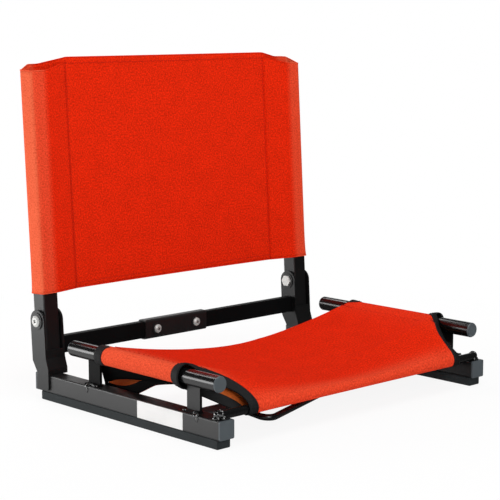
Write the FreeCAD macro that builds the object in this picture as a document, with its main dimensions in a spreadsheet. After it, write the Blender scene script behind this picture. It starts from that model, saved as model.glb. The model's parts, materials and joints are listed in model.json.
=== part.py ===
import FreeCAD
import Part
import math
import os
import Sketcher

# Folding stadium chair: two side frames of square tube, cloth slung between them.
# Millimetres and degrees. Left is -X, as seen from the front; -Y is the front, +Z up, the floor Z = 0.
SIZES = {
    # Base rails, their end plugs and rubber foot strips
    "rail_side": 25.4,
    "rail_wall": 1.6,
    "rail_corner": 2.0,
    "rail_length": 391.0,
    "rail_offset": 256.0,
    "plug_flange": 2.5,
    "plug_depth": 14.0,
    "plug_fit": 0.05,
    "foot_height": 13.0,
    "foot_inset": 1.0,
    "foot_front_inset": 7.0,
    "foot_rear_inset": 13.0,
    "foot_neck": 1.2,
    # Seat rods and the strap posts that carry them
    "rod_diameter": 22.2,
    "rod_wall": 1.5,
    "rod_length": 306.0,
    "rod_front_inset": 14.0,
    "rod_rise": 44.8,
    "rod_plug_flange": 2.0,
    "post_width": 25.4,
    "post_thickness": 4.0,
    "front_post_from_mid": 135.4,
    "rear_post_from_mid": 73.8,
    "weld_size": 3.0,
    "weld_gap": 0.15,
    # Cross members at the front
    "crossbar_diameter": 12.0,
    "crossbar_inset": 9.0,
    "crossbar_seat": 0.4,
    "strap_from_mid": 138.0,
    "strap_width": 25.4,
    "strap_thickness": 5.0,
    # Hinge brackets and back uprights
    "lean": 3.4,
    "pivot_inset": 10.0,
    "pivot_height": 115.0,
    "plate": 3.0,
    "stop_gap": 0.3,
    "hinge_play": 1.6,
    "web_drop": 42.0,
    "bend_drop": 54.0,
    "tab_setback": 9.0,
    "tab_width": 25.5,
    "tab_lift": 3.0,
    "tab_corner": 4.0,
    "upright_side": 25.4,
    "upright_wall": 1.6,
    "upright_corner": 2.0,
    "upright_top": 354.0,
    "upright_bottom": 54.0,
    # Pivot bolts
    "pivot_diameter": 10.0,
    "pivot_head": 16.5,
    "pivot_head_height": 3.2,
    "pivot_crown": 11.0,
    "pivot_washer": 24.5,
    "washer_thickness": 1.6,
    "pivot_nut": 16.0,
    "pivot_nut_height": 3.2,
    "spacer_diameter": 20.0,
    "spacer_gap": 0.05,
    "running_fit": 0.08,
    "bolt_fit": 0.1,
    # Rear crossbar in two halves, joined by a sleeve
    "bar_height": 25.4,
    "bar_depth": 12.7,
    "bar_wall": 1.6,
    "bar_corner": 2.0,
    "bar_drop": 38.0,
    "bar_forward": 4.7,
    "sleeve_length": 124.0,
    "sleeve_wall": 2.0,
    "sleeve_fit": 0.2,
    "splice_offset": 18.0,
    "splice_pitch": 79.0,
    "splice_gap": 1.0,
    "splice_bolt": 6.0,
    "splice_head": 12.6,
    "splice_head_height": 3.6,
    "splice_crown": 7.6,
    "splice_washer": 18.0,
    "splice_washer_thickness": 1.2,
    "splice_nut": 10.0,
    "splice_nut_height": 5.0,
    # Bench hook, a bent rod in two clips under the strap
    "hook_diameter": 9.0,
    "hook_drop": 10.4,
    "hook_reach": 54.0,
    "hook_droop": 4.0,
    "hook_span": 175.0,
    "hook_bend": 13.0,
    "hook_pin": 24.0,
    "clip_length": 12.0,
    "clip_wall": 3.0,
    # Slung cloth
    "cloth": 2.0,
    "cloth_gap": 0.3,
    "seat_sleeve_front": 120.0,
    "seat_sleeve_rear": 60.0,
    "seat_rear_sag": 31.0,
    "seat_front_sag": 40.5,
    "hem_half_width": 205.0,
    "hem_sag": 0.25,
    "hem_turn": 30.0,
    "sleeve_turn": 45.0,
    "apron_narrowing": 1.2,
    "apron_fall": 1.45,
    "back_bottom": 40.0,
    "panel_top": 376.0,
    "sleeve_top": 365.0,
    "seam_inset": 40.0,
    "seam_allowance": 8.0,
    "panel_bow": 6.0,
}

doc = FreeCAD.newDocument("StadiumChair")
sheet = doc.addObject("Spreadsheet::Sheet", "Sizes")
for row, (alias, value) in enumerate(SIZES.items(), start=1):
    sheet.set(f"A{row}", alias)
    sheet.set(f"B{row}", str(value))
    sheet.setAlias(f"B{row}", alias)
doc.recompute()


class Size:
    """A measure known as a number and as the sheet expression that drives it."""

    def __init__(self, number, text):
        self.number = number
        self.text = text

    def __add__(self, other):
        other = as_size(other)
        return Size(self.number + other.number, f"({self.text} + {other.text})")

    def __sub__(self, other):
        other = as_size(other)
        return Size(self.number - other.number, f"({self.text} - {other.text})")

    def __mul__(self, other):
        other = as_size(other)
        return Size(self.number * other.number, f"({self.text} * {other.text})")

    def __truediv__(self, other):
        other = as_size(other)
        return Size(self.number / other.number, f"({self.text} / {other.text})")

    def __neg__(self):
        return Size(-self.number, f"(0 - {self.text})")


def as_size(value):
    if isinstance(value, Size):
        return value
    return Size(float(value), f"({float(value)})")


def size(alias):
    return Size(float(sheet.get(alias)), f"Sizes.{alias}")


def sine(angle):
    return Size(math.sin(math.radians(angle.number)), f"sin({angle.text})")


def cosine(angle):
    return Size(math.cos(math.radians(angle.number)), f"cos({angle.text})")


ZERO = as_size(0)
HALF_RAIL = size("rail_side") / 2
FULL_RAIL = size("rail_length") + size("plug_flange") * 2
RAIL_TOP = size("foot_height") + size("rail_side")
INNER_FACE = size("rail_offset") - HALF_RAIL
ROD_RADIUS = size("rod_diameter") / 2
ROD_HEIGHT = RAIL_TOP + size("rod_rise")
HALF_UPRIGHT = size("upright_side") / 2
BRACKET_HALF = HALF_UPRIGHT + size("stop_gap") + size("plate")
HINGE_ROOM = HALF_UPRIGHT + size("hinge_play")
HINGE_X = size("rail_offset") + HALF_RAIL - HINGE_ROOM
CLOTH_OUT = size("cloth_gap") + size("cloth")

# The frame's origin lies under the middle of the whole outline: the rails' front ends
# and the rear top edge of the leaning back's sleeves are equally far from it.
PIVOT_FROM_MID = FULL_RAIL / 2 - size("pivot_inset")
BACK_REACH = size("sleeve_top") * sine(size("lean")) + (HALF_UPRIGHT + CLOTH_OUT) * cosine(size("lean"))
RAIL_MID = (FULL_RAIL / 2 - PIVOT_FROM_MID - BACK_REACH) / 2
PIVOT_Y = RAIL_MID + PIVOT_FROM_MID
FRONT_Y = RAIL_MID - FULL_RAIL / 2
CROSSBAR_Y = FRONT_Y + size("crossbar_inset")
CROSSBAR_Z = RAIL_TOP + size("crossbar_diameter") / 2 - size("crossbar_seat")
STRAP_Y = RAIL_MID - size("strap_from_mid")
HOOK_Z = RAIL_TOP - size("hook_drop")
BAR_Y = PIVOT_Y - size("bar_forward")
BAR_Z = size("pivot_height") - size("bar_drop")
ROD_MID = FRONT_Y + size("rod_front_inset") + size("rod_length") / 2
APRON_STEPS = 3

nodes = []


def finish(piece, name):
    """Name a finished piece and list it for export."""
    piece.Label = name
    nodes.append(piece)
    return piece


def place(piece, x, y, z):
    piece.setExpression("Placement.Base.x", as_size(x).text)
    piece.setExpression("Placement.Base.y", as_size(y).text)
    piece.setExpression("Placement.Base.z", as_size(z).text)
    return piece


def turn(piece, angle, axis_x):
    """Turn a piece about +X or -X by a sheet angle."""
    axis = FreeCAD.Vector(axis_x, 0, 0)
    piece.Placement = FreeCAD.Placement(FreeCAD.Vector(), FreeCAD.Rotation(axis, angle.number))
    piece.setExpression("Placement.Rotation.Angle", angle.text)
    return piece


def lean_back(piece):
    """Turn a piece built along +Z so that its top leans towards the rear."""
    return turn(piece, size("lean"), -1)


def new_body(name):
    return doc.addObject("PartDesign::Body", name)


def new_sketch(body, role):
    sketch = body.newObject("Sketcher::SketchObject", f"{body.Name}_outline")
    support = [plane for plane in body.Origin.OriginFeatures if plane.Role == role][0]
    sketch.AttachmentSupport = [(support, "")]
    sketch.MapMode = "FlatFace"
    return sketch


def drive(sketch, constraints):
    """Add constraints, each with the expression of its size when it has one."""
    indices = sketch.addConstraint([constraint for constraint, _ in constraints])
    for index, (_, measure) in zip(indices, constraints):
        if measure is not None:
            sketch.setExpression(f"Constraints[{index}]", measure.text)


def arc_between(start, end, radius):
    """Anticlockwise arc of at most half a turn from start to end."""
    chord = end - start
    reach = math.sqrt(max(radius * radius - chord.Length ** 2 / 4, 0))
    side = FreeCAD.Vector(-chord.y, chord.x, 0)
    side.normalize()
    centre = (start + end) / 2 + side * reach
    circle = Part.Circle(centre, FreeCAD.Vector(0, 0, 1), radius)
    angles = [math.atan2(p.y - centre.y, p.x - centre.x) for p in (start, end)]
    return Part.ArcOfCircle(circle, *angles)


def loop(sketch, corners):
    """Close an anticlockwise outline; a corner's third entry rounds the edge after it."""
    corners = [(as_size(c[0]), as_size(c[1]), c[2] if len(c) > 2 else None) for c in corners]
    points = [FreeCAD.Vector(x.number, y.number, 0) for x, y, _ in corners]
    edges = []
    for i, (_, _, radius) in enumerate(corners):
        start, end = points[i], points[(i + 1) % len(points)]
        if radius is None:
            edges.append(Part.LineSegment(start, end))
        else:
            edges.append(arc_between(start, end, radius.number))
    first = sketch.GeometryCount
    sketch.addGeometry(edges)
    constraints = []
    for i, (x, y, radius) in enumerate(corners):
        here, following = first + i, first + (i + 1) % len(corners)
        constraints.append((Sketcher.Constraint("Coincident", here, 2, following, 1), None))
        constraints.append((Sketcher.Constraint("DistanceX", -1, 1, here, 1, x.number), x))
        constraints.append((Sketcher.Constraint("DistanceY", -1, 1, here, 1, y.number), y))
        if radius is not None:
            constraints.append((Sketcher.Constraint("Radius", here, radius.number), radius))
    drive(sketch, constraints)


def ring(sketch, x, y, radius):
    x, y = as_size(x), as_size(y)
    centre = FreeCAD.Vector(x.number, y.number, 0)
    index = sketch.addGeometry(Part.Circle(centre, FreeCAD.Vector(0, 0, 1), radius.number))
    drive(
        sketch,
        [
            (Sketcher.Constraint("DistanceX", -1, 1, index, 3, x.number), x),
            (Sketcher.Constraint("DistanceY", -1, 1, index, 3, y.number), y),
            (Sketcher.Constraint("Radius", index, radius.number), radius),
        ],
    )


def rounded_box(sketch, width, height, radius):
    """Rectangle about the sketch's origin with four equal round corners."""
    w, h = width / 2, height / 2
    loop(
        sketch,
        [
            (w, -h + radius),
            (w, h - radius, radius),
            (w - radius, h),
            (-w + radius, h, radius),
            (-w, h - radius),
            (-w, -h + radius, radius),
            (-w + radius, -h),
            (w - radius, -h, radius),
        ],
    )


def plain_box(sketch, width, height):
    w, h = width / 2, height / 2
    loop(sketch, [(w, -h), (w, h), (-w, h), (-w, -h)])


def tube_section(sketch, width, height, wall, radius):
    rounded_box(sketch, width, height, radius)
    plain_box(sketch, width - wall * 2, height - wall * 2)


def pad(body, sketch, length, second=None, symmetric=True):
    feature = body.newObject("PartDesign::Pad", f"{body.Name}_pad")
    feature.Profile = sketch
    feature.setExpression("Length", length.text)
    if second is not None:
        feature.SideType = "Two sides"
        feature.setExpression("Length2", second.text)
    elif symmetric:
        feature.SideType = "Symmetric"
    return feature


def pocket(body, sketch, length, second=None):
    """Cut a sketch out of a body, half the length to each side or a length behind and one ahead."""
    feature = body.newObject("PartDesign::Pocket", f"{body.Name}_pocket")
    feature.Profile = sketch
    feature.setExpression("Length", length.text)
    if second is None:
        feature.SideType = "Symmetric"
    else:
        feature.SideType = "Two sides"
        feature.setExpression("Length2", second.text)
    return feature


def turned(name, role, axis, corners):
    """Body of revolution: a half outline turned about one axis of its sketch."""
    body = new_body(name)
    sketch = new_sketch(body, role)
    loop(sketch, corners)
    feature = body.newObject("PartDesign::Revolution", f"{name}_turn")
    feature.Profile = sketch
    feature.ReferenceAxis = (sketch, [axis])
    feature.Angle = 360
    return body


def hexagon(sketch, across_flats):
    half = across_flats / 2
    side = across_flats / math.sqrt(3) / 2
    tip = across_flats / math.sqrt(3)
    loop(sketch, [(side, -half), (tip, 0), (side, half), (-side, half), (-tip, 0), (-side, -half)])


def mirrored(source, name, normal=(1, 0, 0), base_y=None):
    copy = doc.addObject("Part::Mirroring", name)
    copy.Source = source
    copy.Normal = normal
    if base_y is not None:
        copy.setExpression("Base.y", base_y.text)
    return copy


def both_sides(left, left_name, right_name):
    """Hand in a left piece and its mirror image on the right."""
    finish(left, left_name)
    finish(mirrored(left, right_name), right_name)


def gather(name, pieces):
    """One node that holds several separate equal pieces."""
    group = doc.addObject("Part::Compound", name)
    group.Links = pieces
    return finish(group, name)


def base_rails():
    rail = new_body("rail")
    section = new_sketch(rail, "XZ_Plane")
    tube_section(section, size("rail_side"), size("rail_side"), size("rail_wall"), size("rail_corner"))
    pad(rail, section, size("rail_length"))
    place(rail, -size("rail_offset"), RAIL_MID, size("foot_height") + HALF_RAIL)
    both_sides(rail, "left_base_rail", "right_base_rail")


def rail_end_plugs():
    inside = size("rail_side") - (size("rail_wall") + size("plug_fit")) * 2
    plug = new_body("rail_plug")
    flange = new_sketch(plug, "XZ_Plane")
    rounded_box(flange, size("rail_side"), size("rail_side"), size("rail_corner"))
    pad(plug, flange, size("plug_flange"), symmetric=False)
    spigot = new_sketch(plug, "XZ_Plane")
    plain_box(spigot, inside, inside)
    stem = pad(plug, spigot, size("plug_depth"), symmetric=False)
    stem.Reversed = True
    place(plug, -size("rail_offset"), RAIL_MID - size("rail_length") / 2, size("foot_height") + HALF_RAIL)
    rear = mirrored(plug, "rail_plug_rear", (0, 1, 0), RAIL_MID)
    gather("rail_end_plugs", [plug, rear, mirrored(plug, "rail_plug_b"), mirrored(rear, "rail_plug_c")])


def foot_strips():
    half = HALF_RAIL - size("foot_inset")
    neck = size("foot_neck")
    strip = new_body("foot")
    section = new_sketch(strip, "XZ_Plane")
    loop(
        section,
        [
            (-half + neck, 0),
            (half - neck, 0),
            (half, neck),
            (half, size("foot_height") - neck),
            (half - neck, size("foot_height")),
            (-half + neck, size("foot_height")),
            (-half, size("foot_height") - neck),
            (-half, neck),
        ],
    )
    pad(strip, section, FULL_RAIL - size("foot_front_inset") - size("foot_rear_inset"))
    forward = (size("foot_front_inset") - size("foot_rear_inset")) / 2
    place(strip, -size("rail_offset"), RAIL_MID + forward, ZERO)
    both_sides(strip, "left_foot_strip", "right_foot_strip")


def seat_rods():
    rod = new_body("rod")
    section = new_sketch(rod, "XZ_Plane")
    ring(section, 0, 0, ROD_RADIUS)
    ring(section, 0, 0, ROD_RADIUS - size("rod_wall"))
    pad(rod, section, size("rod_length"))
    place(rod, -size("rail_offset"), ROD_MID, ROD_HEIGHT)
    both_sides(rod, "left_seat_rod", "right_seat_rod")


def seat_rod_plugs():
    bore = ROD_RADIUS - size("rod_wall") - size("plug_fit")
    flange = size("rod_plug_flange")
    plug = turned(
        "rod_plug",
        "YZ_Plane",
        "H_Axis",
        [
            (-flange, 0),
            (size("plug_depth"), 0),
            (size("plug_depth"), bore),
            (0, bore),
            (0, ROD_RADIUS),
            (-flange, ROD_RADIUS - flange / 2),
        ],
    )
    place(plug, -size("rail_offset"), ROD_MID - size("rod_length") / 2, ROD_HEIGHT)
    rear = mirrored(plug, "rod_plug_rear", (0, 1, 0), ROD_MID)
    gather("seat_rod_plugs", [plug, rear, mirrored(plug, "rod_plug_b"), mirrored(rear, "rod_plug_c")])


def strap_post(name, y):
    """Flat strap on edge between rail and rod, flared by its fillet welds at the foot."""
    half = size("post_thickness") / 2
    weld = size("weld_size")
    top = size("rod_rise") - ROD_RADIUS + half / 2
    post = new_body(name)
    section = new_sketch(post, "XZ_Plane")
    loop(
        section,
        [
            (-half - weld, 0),
            (half + weld, 0),
            (half, weld),
            (half, top),
            (-half, top),
            (-half, weld),
        ],
    )
    pad(post, section, size("post_width"))
    saddle = new_sketch(post, "XZ_Plane")
    ring(saddle, ZERO, size("rod_rise"), ROD_RADIUS + size("weld_gap"))
    pocket(post, saddle, size("post_width") * 2)
    return place(post, -size("rail_offset"), y, RAIL_TOP)


def strap_posts():
    front = strap_post("front_post", RAIL_MID - size("front_post_from_mid"))
    rear = strap_post("rear_post", RAIL_MID + size("rear_post_from_mid"))
    both_sides(front, "left_front_post", "right_front_post")
    both_sides(rear, "left_rear_post", "right_rear_post")


def front_members():
    radius = size("crossbar_diameter") / 2
    bar = new_body("crossbar")
    section = new_sketch(bar, "YZ_Plane")
    ring(section, 0, 0, radius)
    pad(bar, section, size("rail_offset") * 2)
    seats = new_sketch(bar, "XZ_Plane")
    floor, seat = -radius * 2, size("crossbar_seat") - radius
    outer = size("rail_offset") + HALF_RAIL
    inner = INNER_FACE - size("cloth_gap")
    loop(seats, [(inner, floor), (outer, floor), (outer, seat), (inner, seat)])
    loop(seats, [(-outer, floor), (-inner, floor), (-inner, seat), (-outer, seat)])
    pocket(bar, seats, radius * 4)
    finish(place(bar, ZERO, CROSSBAR_Y, CROSSBAR_Z), "front_crossbar")

    strap = doc.addObject("Part::Box", "strap")
    strap.setExpression("Length", (INNER_FACE * 2).text)
    strap.setExpression("Width", size("strap_width").text)
    strap.setExpression("Height", size("strap_thickness").text)
    place(strap, -INNER_FACE, STRAP_Y - size("strap_width") / 2, RAIL_TOP - size("strap_thickness"))
    finish(strap, "front_cross_strap")


def leaning(along, across):
    """Point of the bracket's outline, given along and across the leaning upright."""
    a = size("lean")
    return (across * cosine(a) + along * sine(a), along * cosine(a) - across * sine(a))


def hinge_brackets():
    """Folded channel, open to the rear, stepped forward; its longer outer side laps the rail."""
    far = size("pivot_height")
    half, plate = BRACKET_HALF, size("plate")
    rail_end = size("pivot_inset")
    tab_rear = rail_end - size("tab_setback")
    tab_front = tab_rear - size("tab_width")
    tab_top = RAIL_TOP - size("pivot_height")
    tab_foot = size("foot_height") + size("tab_lift") - size("pivot_height")
    r = size("tab_corner")
    bend = size("bend_drop")
    shoulder = tab_top + size("tab_corner") * 2

    bracket = new_body("bracket")
    outline = new_sketch(bracket, "YZ_Plane")
    loop(
        outline,
        [
            (tab_front, tab_foot + r, r),
            (tab_front + r, tab_foot),
            (tab_rear - r, tab_foot, r),
            (tab_rear, tab_foot + r),
            (tab_rear, tab_top),
            leaning(-bend - r, half),
            (*leaning(ZERO, half), half),
            (*leaning(half, ZERO), half),
            leaning(ZERO, -half),
            leaning(-bend, -half),
            (tab_front, shoulder),
        ],
    )
    pad(bracket, outline, (HINGE_ROOM + plate) * 2)

    inside = new_sketch(bracket, "YZ_Plane")
    web = plate - half
    web_top = -size("web_drop")
    loop(
        inside,
        [
            (far, tab_top),
            (far, far),
            (-far, far),
            (-far, leaning(web_top, web)[1]),
            leaning(web_top, web),
            leaning(-bend, web),
            (tab_front + plate, shoulder),
            (tab_front + plate, tab_top),
        ],
    )
    pocket(bracket, inside, HINGE_ROOM * 2)

    rail_room = new_sketch(bracket, "YZ_Plane")
    loop(rail_room, [(-far, -far), (far, -far), (far, tab_top), (-far, tab_top)])
    pocket(bracket, rail_room, HINGE_ROOM, HINGE_ROOM * 2)

    bore = new_sketch(bracket, "YZ_Plane")
    ring(bore, 0, 0, size("pivot_diameter") / 2 + size("bolt_fit"))
    pocket(bracket, bore, HINGE_ROOM * 4)
    at_pivot(bracket)
    both_sides(bracket, "left_hinge_bracket", "right_hinge_bracket")


def pivot_fasteners():
    plate_out = HINGE_ROOM + size("plate")
    stack = plate_out + size("washer_thickness")
    shank, head = size("pivot_diameter") / 2, size("pivot_head") / 2
    crown = stack + size("pivot_head_height")
    end = stack + size("pivot_nut_height")
    bolt = turned(
        "pivot_bolt",
        "XY_Plane",
        "H_Axis",
        [
            (-crown, 0),
            (end, 0),
            (end, shank),
            (-stack, shank),
            (-stack, head),
            (-stack - size("pivot_head_height") / 2, head),
            (-crown, size("pivot_crown") / 2),
        ],
    )
    at_pivot(bolt)
    gather("pivot_bolts", [bolt, mirrored(bolt, "pivot_bolt_b")])

    nut = new_body("pivot_nut")
    section = new_sketch(nut, "YZ_Plane")
    hexagon(section, size("pivot_nut"))
    ring(section, 0, 0, shank + size("plug_fit"))
    pad(nut, section, size("pivot_nut_height"), symmetric=False)
    at_pivot(nut, stack)
    gather("pivot_nuts", [nut, mirrored(nut, "pivot_nut_b")])

    washer = size("pivot_washer") / 2
    outer = ring_body("pivot_washer_a", washer, shank + size("bolt_fit"), size("washer_thickness"))
    inner = ring_body("pivot_washer_b", washer, shank + size("bolt_fit"), size("washer_thickness"))
    at_pivot(outer, -stack)
    at_pivot(inner, plate_out)
    gather(
        "pivot_washers",
        [outer, inner, mirrored(outer, "pivot_washer_c"), mirrored(inner, "pivot_washer_d")],
    )

    thickness = size("hinge_play") - size("spacer_gap") * 2
    spacers = []
    for tag, start in (("a", size("spacer_gap") - HINGE_ROOM), ("b", HALF_UPRIGHT + size("spacer_gap"))):
        spacer = ring_body(f"spacer_{tag}", size("spacer_diameter") / 2, shank + size("bolt_fit"), thickness)
        at_pivot(spacer, start)
        spacers += [spacer, mirrored(spacer, f"spacer_{tag}_b")]
    gather("pivot_spacers", spacers)


def at_pivot(piece, along=ZERO):
    return place(piece, along - HINGE_X, PIVOT_Y, size("pivot_height"))


def ring_body(name, outer, inner, thickness, role="YZ_Plane"):
    body = new_body(name)
    section = new_sketch(body, role)
    ring(section, 0, 0, outer)
    ring(section, 0, 0, inner)
    pad(body, section, thickness, symmetric=False)
    return body


def back_uprights():
    upright = new_body("upright")
    section = new_sketch(upright, "XY_Plane")
    tube_section(
        section, size("upright_side"), size("upright_side"), size("upright_wall"), size("upright_corner")
    )
    pad(upright, section, size("upright_top"), size("upright_bottom"))
    bore = new_sketch(upright, "YZ_Plane")
    ring(bore, 0, 0, size("pivot_diameter") / 2 + size("running_fit"))
    pocket(upright, bore, size("upright_side") * 2)
    lean_back(upright)
    at_pivot(upright)
    both_sides(upright, "left_upright", "right_upright")


def upright_plugs():
    inside = size("upright_side") - (size("upright_wall") + size("plug_fit")) * 2
    plugs = []
    for name, level, below in (
        ("top_plug", size("upright_top"), False),
        ("bottom_plug", -size("upright_bottom"), True),
    ):
        plug = new_body(name)
        flange = new_sketch(plug, "XY_Plane")
        rounded_box(flange, size("upright_side"), size("upright_side"), size("upright_corner"))
        cap = pad(plug, flange, size("rod_plug_flange"), symmetric=False)
        cap.Reversed = below
        spigot = new_sketch(plug, "XY_Plane")
        plain_box(spigot, inside, inside)
        stem = pad(plug, spigot, size("plug_depth"), symmetric=False)
        stem.Reversed = not below
        lean_back(plug)
        place(
            plug,
            -HINGE_X,
            PIVOT_Y + level * sine(size("lean")),
            size("pivot_height") + level * cosine(size("lean")),
        )
        plugs += [plug, mirrored(plug, f"{name}_b")]
    gather("upright_plugs", plugs)


def rear_crossbar():
    """Two tube halves that meet inside a bolted sleeve, left of the middle."""
    wall_face = HINGE_X - HINGE_ROOM - size("plate")
    bolt_hole = size("splice_bolt") / 2 + size("bolt_fit")
    half_pitch = size("splice_pitch") / 2
    for name, sign in (("rear_bar_left", 1), ("rear_bar_right", -1)):
        length = wall_face - size("splice_offset") * sign - size("splice_gap") / 2
        bar = new_body(name)
        section = new_sketch(bar, "YZ_Plane")
        tube_section(section, size("bar_depth"), size("bar_height"), size("bar_wall"), size("bar_corner"))
        tube = pad(bar, section, length, symmetric=False)
        tube.Reversed = sign < 0
        bore = new_sketch(bar, "XZ_Plane")
        ring(bore, (wall_face - size("splice_offset") * sign - half_pitch) * sign, ZERO, bolt_hole)
        pocket(bar, bore, size("bar_depth") * 2)
        finish(place(bar, wall_face * -sign, BAR_Y, BAR_Z), name)

    skin = size("sleeve_fit") * 2
    wall = size("sleeve_wall") * 2
    sleeve = new_body("splice")
    section = new_sketch(sleeve, "YZ_Plane")
    rounded_box(
        section,
        size("bar_depth") + skin + wall,
        size("bar_height") + skin + wall,
        size("bar_corner") + size("sleeve_wall"),
    )
    rounded_box(section, size("bar_depth") + skin, size("bar_height") + skin, size("bar_corner"))
    pad(sleeve, section, size("sleeve_length"))
    bore = new_sketch(sleeve, "XZ_Plane")
    ring(bore, half_pitch, 0, bolt_hole)
    ring(bore, -half_pitch, 0, bolt_hole)
    pocket(sleeve, bore, size("bar_depth") * 3)
    finish(place(sleeve, -size("splice_offset"), BAR_Y, BAR_Z), "splice_sleeve")
    splice_fasteners(size("bar_depth") / 2 + size("sleeve_fit") + size("sleeve_wall"), half_pitch)


def splice_fasteners(face, half_pitch):
    shank, head = size("splice_bolt") / 2, size("splice_head") / 2
    under = face + size("splice_washer_thickness")
    crown = under + size("splice_head_height")
    end = face + size("splice_nut_height") + size("splice_washer_thickness")
    bolts, washers, nuts = [], [], []
    for tag, sign in (("a", -1), ("b", 1)):
        x = half_pitch * sign - size("splice_offset")
        bolt = turned(
            f"splice_bolt_{tag}",
            "YZ_Plane",
            "H_Axis",
            [
                (-crown, 0),
                (end, 0),
                (end, shank),
                (-under, shank),
                (-under, head),
                (-under - size("splice_head_height") / 2, head),
                (-crown, size("splice_crown") / 2),
            ],
        )
        bolts.append(place(bolt, x, BAR_Y, BAR_Z))
        washer = ring_body(
            f"splice_washer_{tag}",
            size("splice_washer") / 2,
            shank + size("bolt_fit"),
            size("splice_washer_thickness"),
            "XZ_Plane",
        )
        washers.append(place(washer, x, BAR_Y - face, BAR_Z))
        nut = new_body(f"splice_nut_{tag}")
        section = new_sketch(nut, "XZ_Plane")
        hexagon(section, size("splice_nut"))
        ring(section, 0, 0, shank + size("plug_fit"))
        hold = pad(nut, section, size("splice_nut_height"), symmetric=False)
        hold.Reversed = True
        nuts.append(place(nut, x, BAR_Y + face, BAR_Z))
    gather("splice_bolts", bolts)
    gather("splice_washers", washers)
    gather("splice_nuts", nuts)


def hook_clips():
    radius = size("hook_diameter") / 2
    outer = radius + size("clip_wall")
    rise = size("hook_drop") - size("strap_thickness")
    clips = []
    for name, x in (
        ("clip_a", -size("hook_span") - size("hook_bend") - size("clip_length") / 2),
        ("clip_b", size("hook_bend") + size("clip_length") / 2),
    ):
        clip = new_body(name)
        section = new_sketch(clip, "YZ_Plane")
        loop(section, [(-outer, 0, outer), (0, -outer, outer), (outer, 0), (outer, rise), (-outer, rise)])
        ring(section, 0, 0, radius + size("running_fit"))
        pad(clip, section, size("clip_length"))
        clips.append(place(clip, x, STRAP_Y, HOOK_Z))
    gather("hook_clips", clips)


def bent_wire(points, bend):
    """Polyline whose inner corners are rounded to one bend radius."""
    edges = []
    start = points[0]
    for before, corner, after in zip(points, points[1:], points[2:]):
        inward = (before - corner).normalize()
        outward = (after - corner).normalize()
        half = inward.getAngle(outward) / 2
        trim = bend / math.tan(half)
        first, last = corner + inward * trim, corner + outward * trim
        bisector = (inward + outward).normalize()
        middle = corner + bisector * (bend / math.sin(half) - bend)
        edges += [Part.makeLine(start, first), Part.Arc(first, middle, last).toShape()]
        start = last
    edges.append(Part.makeLine(start, points[-1]))
    return Part.Wire(edges)


def bench_hook():
    """Round rod, drooping a little: a pin in each clip, a straight arm forward, a slanting arm back."""
    span, reach = size("hook_span").number, size("hook_reach").number
    bend = size("hook_bend").number
    pin = bend + size("hook_pin").number
    corners = [(-span - pin, 0), (-span, 0), (-span, -reach), (0, 0), (pin, 0)]
    path = bent_wire([FreeCAD.Vector(x, y, 0) for x, y in corners], bend)
    start = FreeCAD.Vector(*corners[0], 0)
    section = Part.Wire(
        Part.makeCircle(size("hook_diameter").number / 2, start, FreeCAD.Vector(1, 0, 0))
    )
    hook = doc.addObject("Part::Feature", "hook")
    hook.Shape = path.makePipeShell([section], True, False)
    turn(hook, size("hook_droop"), 1)
    finish(place(hook, ZERO, STRAP_Y, HOOK_Z), "bench_hook")


def sheet_section(y, half_width, edge, middle):
    """Cross-section of the seat cloth: two parallel arcs that sag to the middle."""
    thick = size("cloth").number / 2
    arcs = []
    for lift in (thick, -thick):
        ends = [FreeCAD.Vector(side * half_width, y, edge + lift) for side in (-1, 1)]
        arcs.append(Part.Arc(ends[0], FreeCAD.Vector(0, y, middle + lift), ends[1]).toShape())
    upper, lower = arcs
    sides = [Part.makeLine(upper.Vertexes[i].Point, lower.Vertexes[i].Point) for i in (0, 1)]
    return Part.Wire([upper, sides[1], lower, sides[0]])


def cloth_tube(start, direction, length, radius):
    """Hollow hem of one cloth thickness round a rod of this radius."""
    bore = radius + size("cloth_gap").number
    skin = Part.makeCylinder(bore + size("cloth").number, length, start, direction)
    return skin.cut(Part.makeCylinder(bore, length, start, direction))


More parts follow.
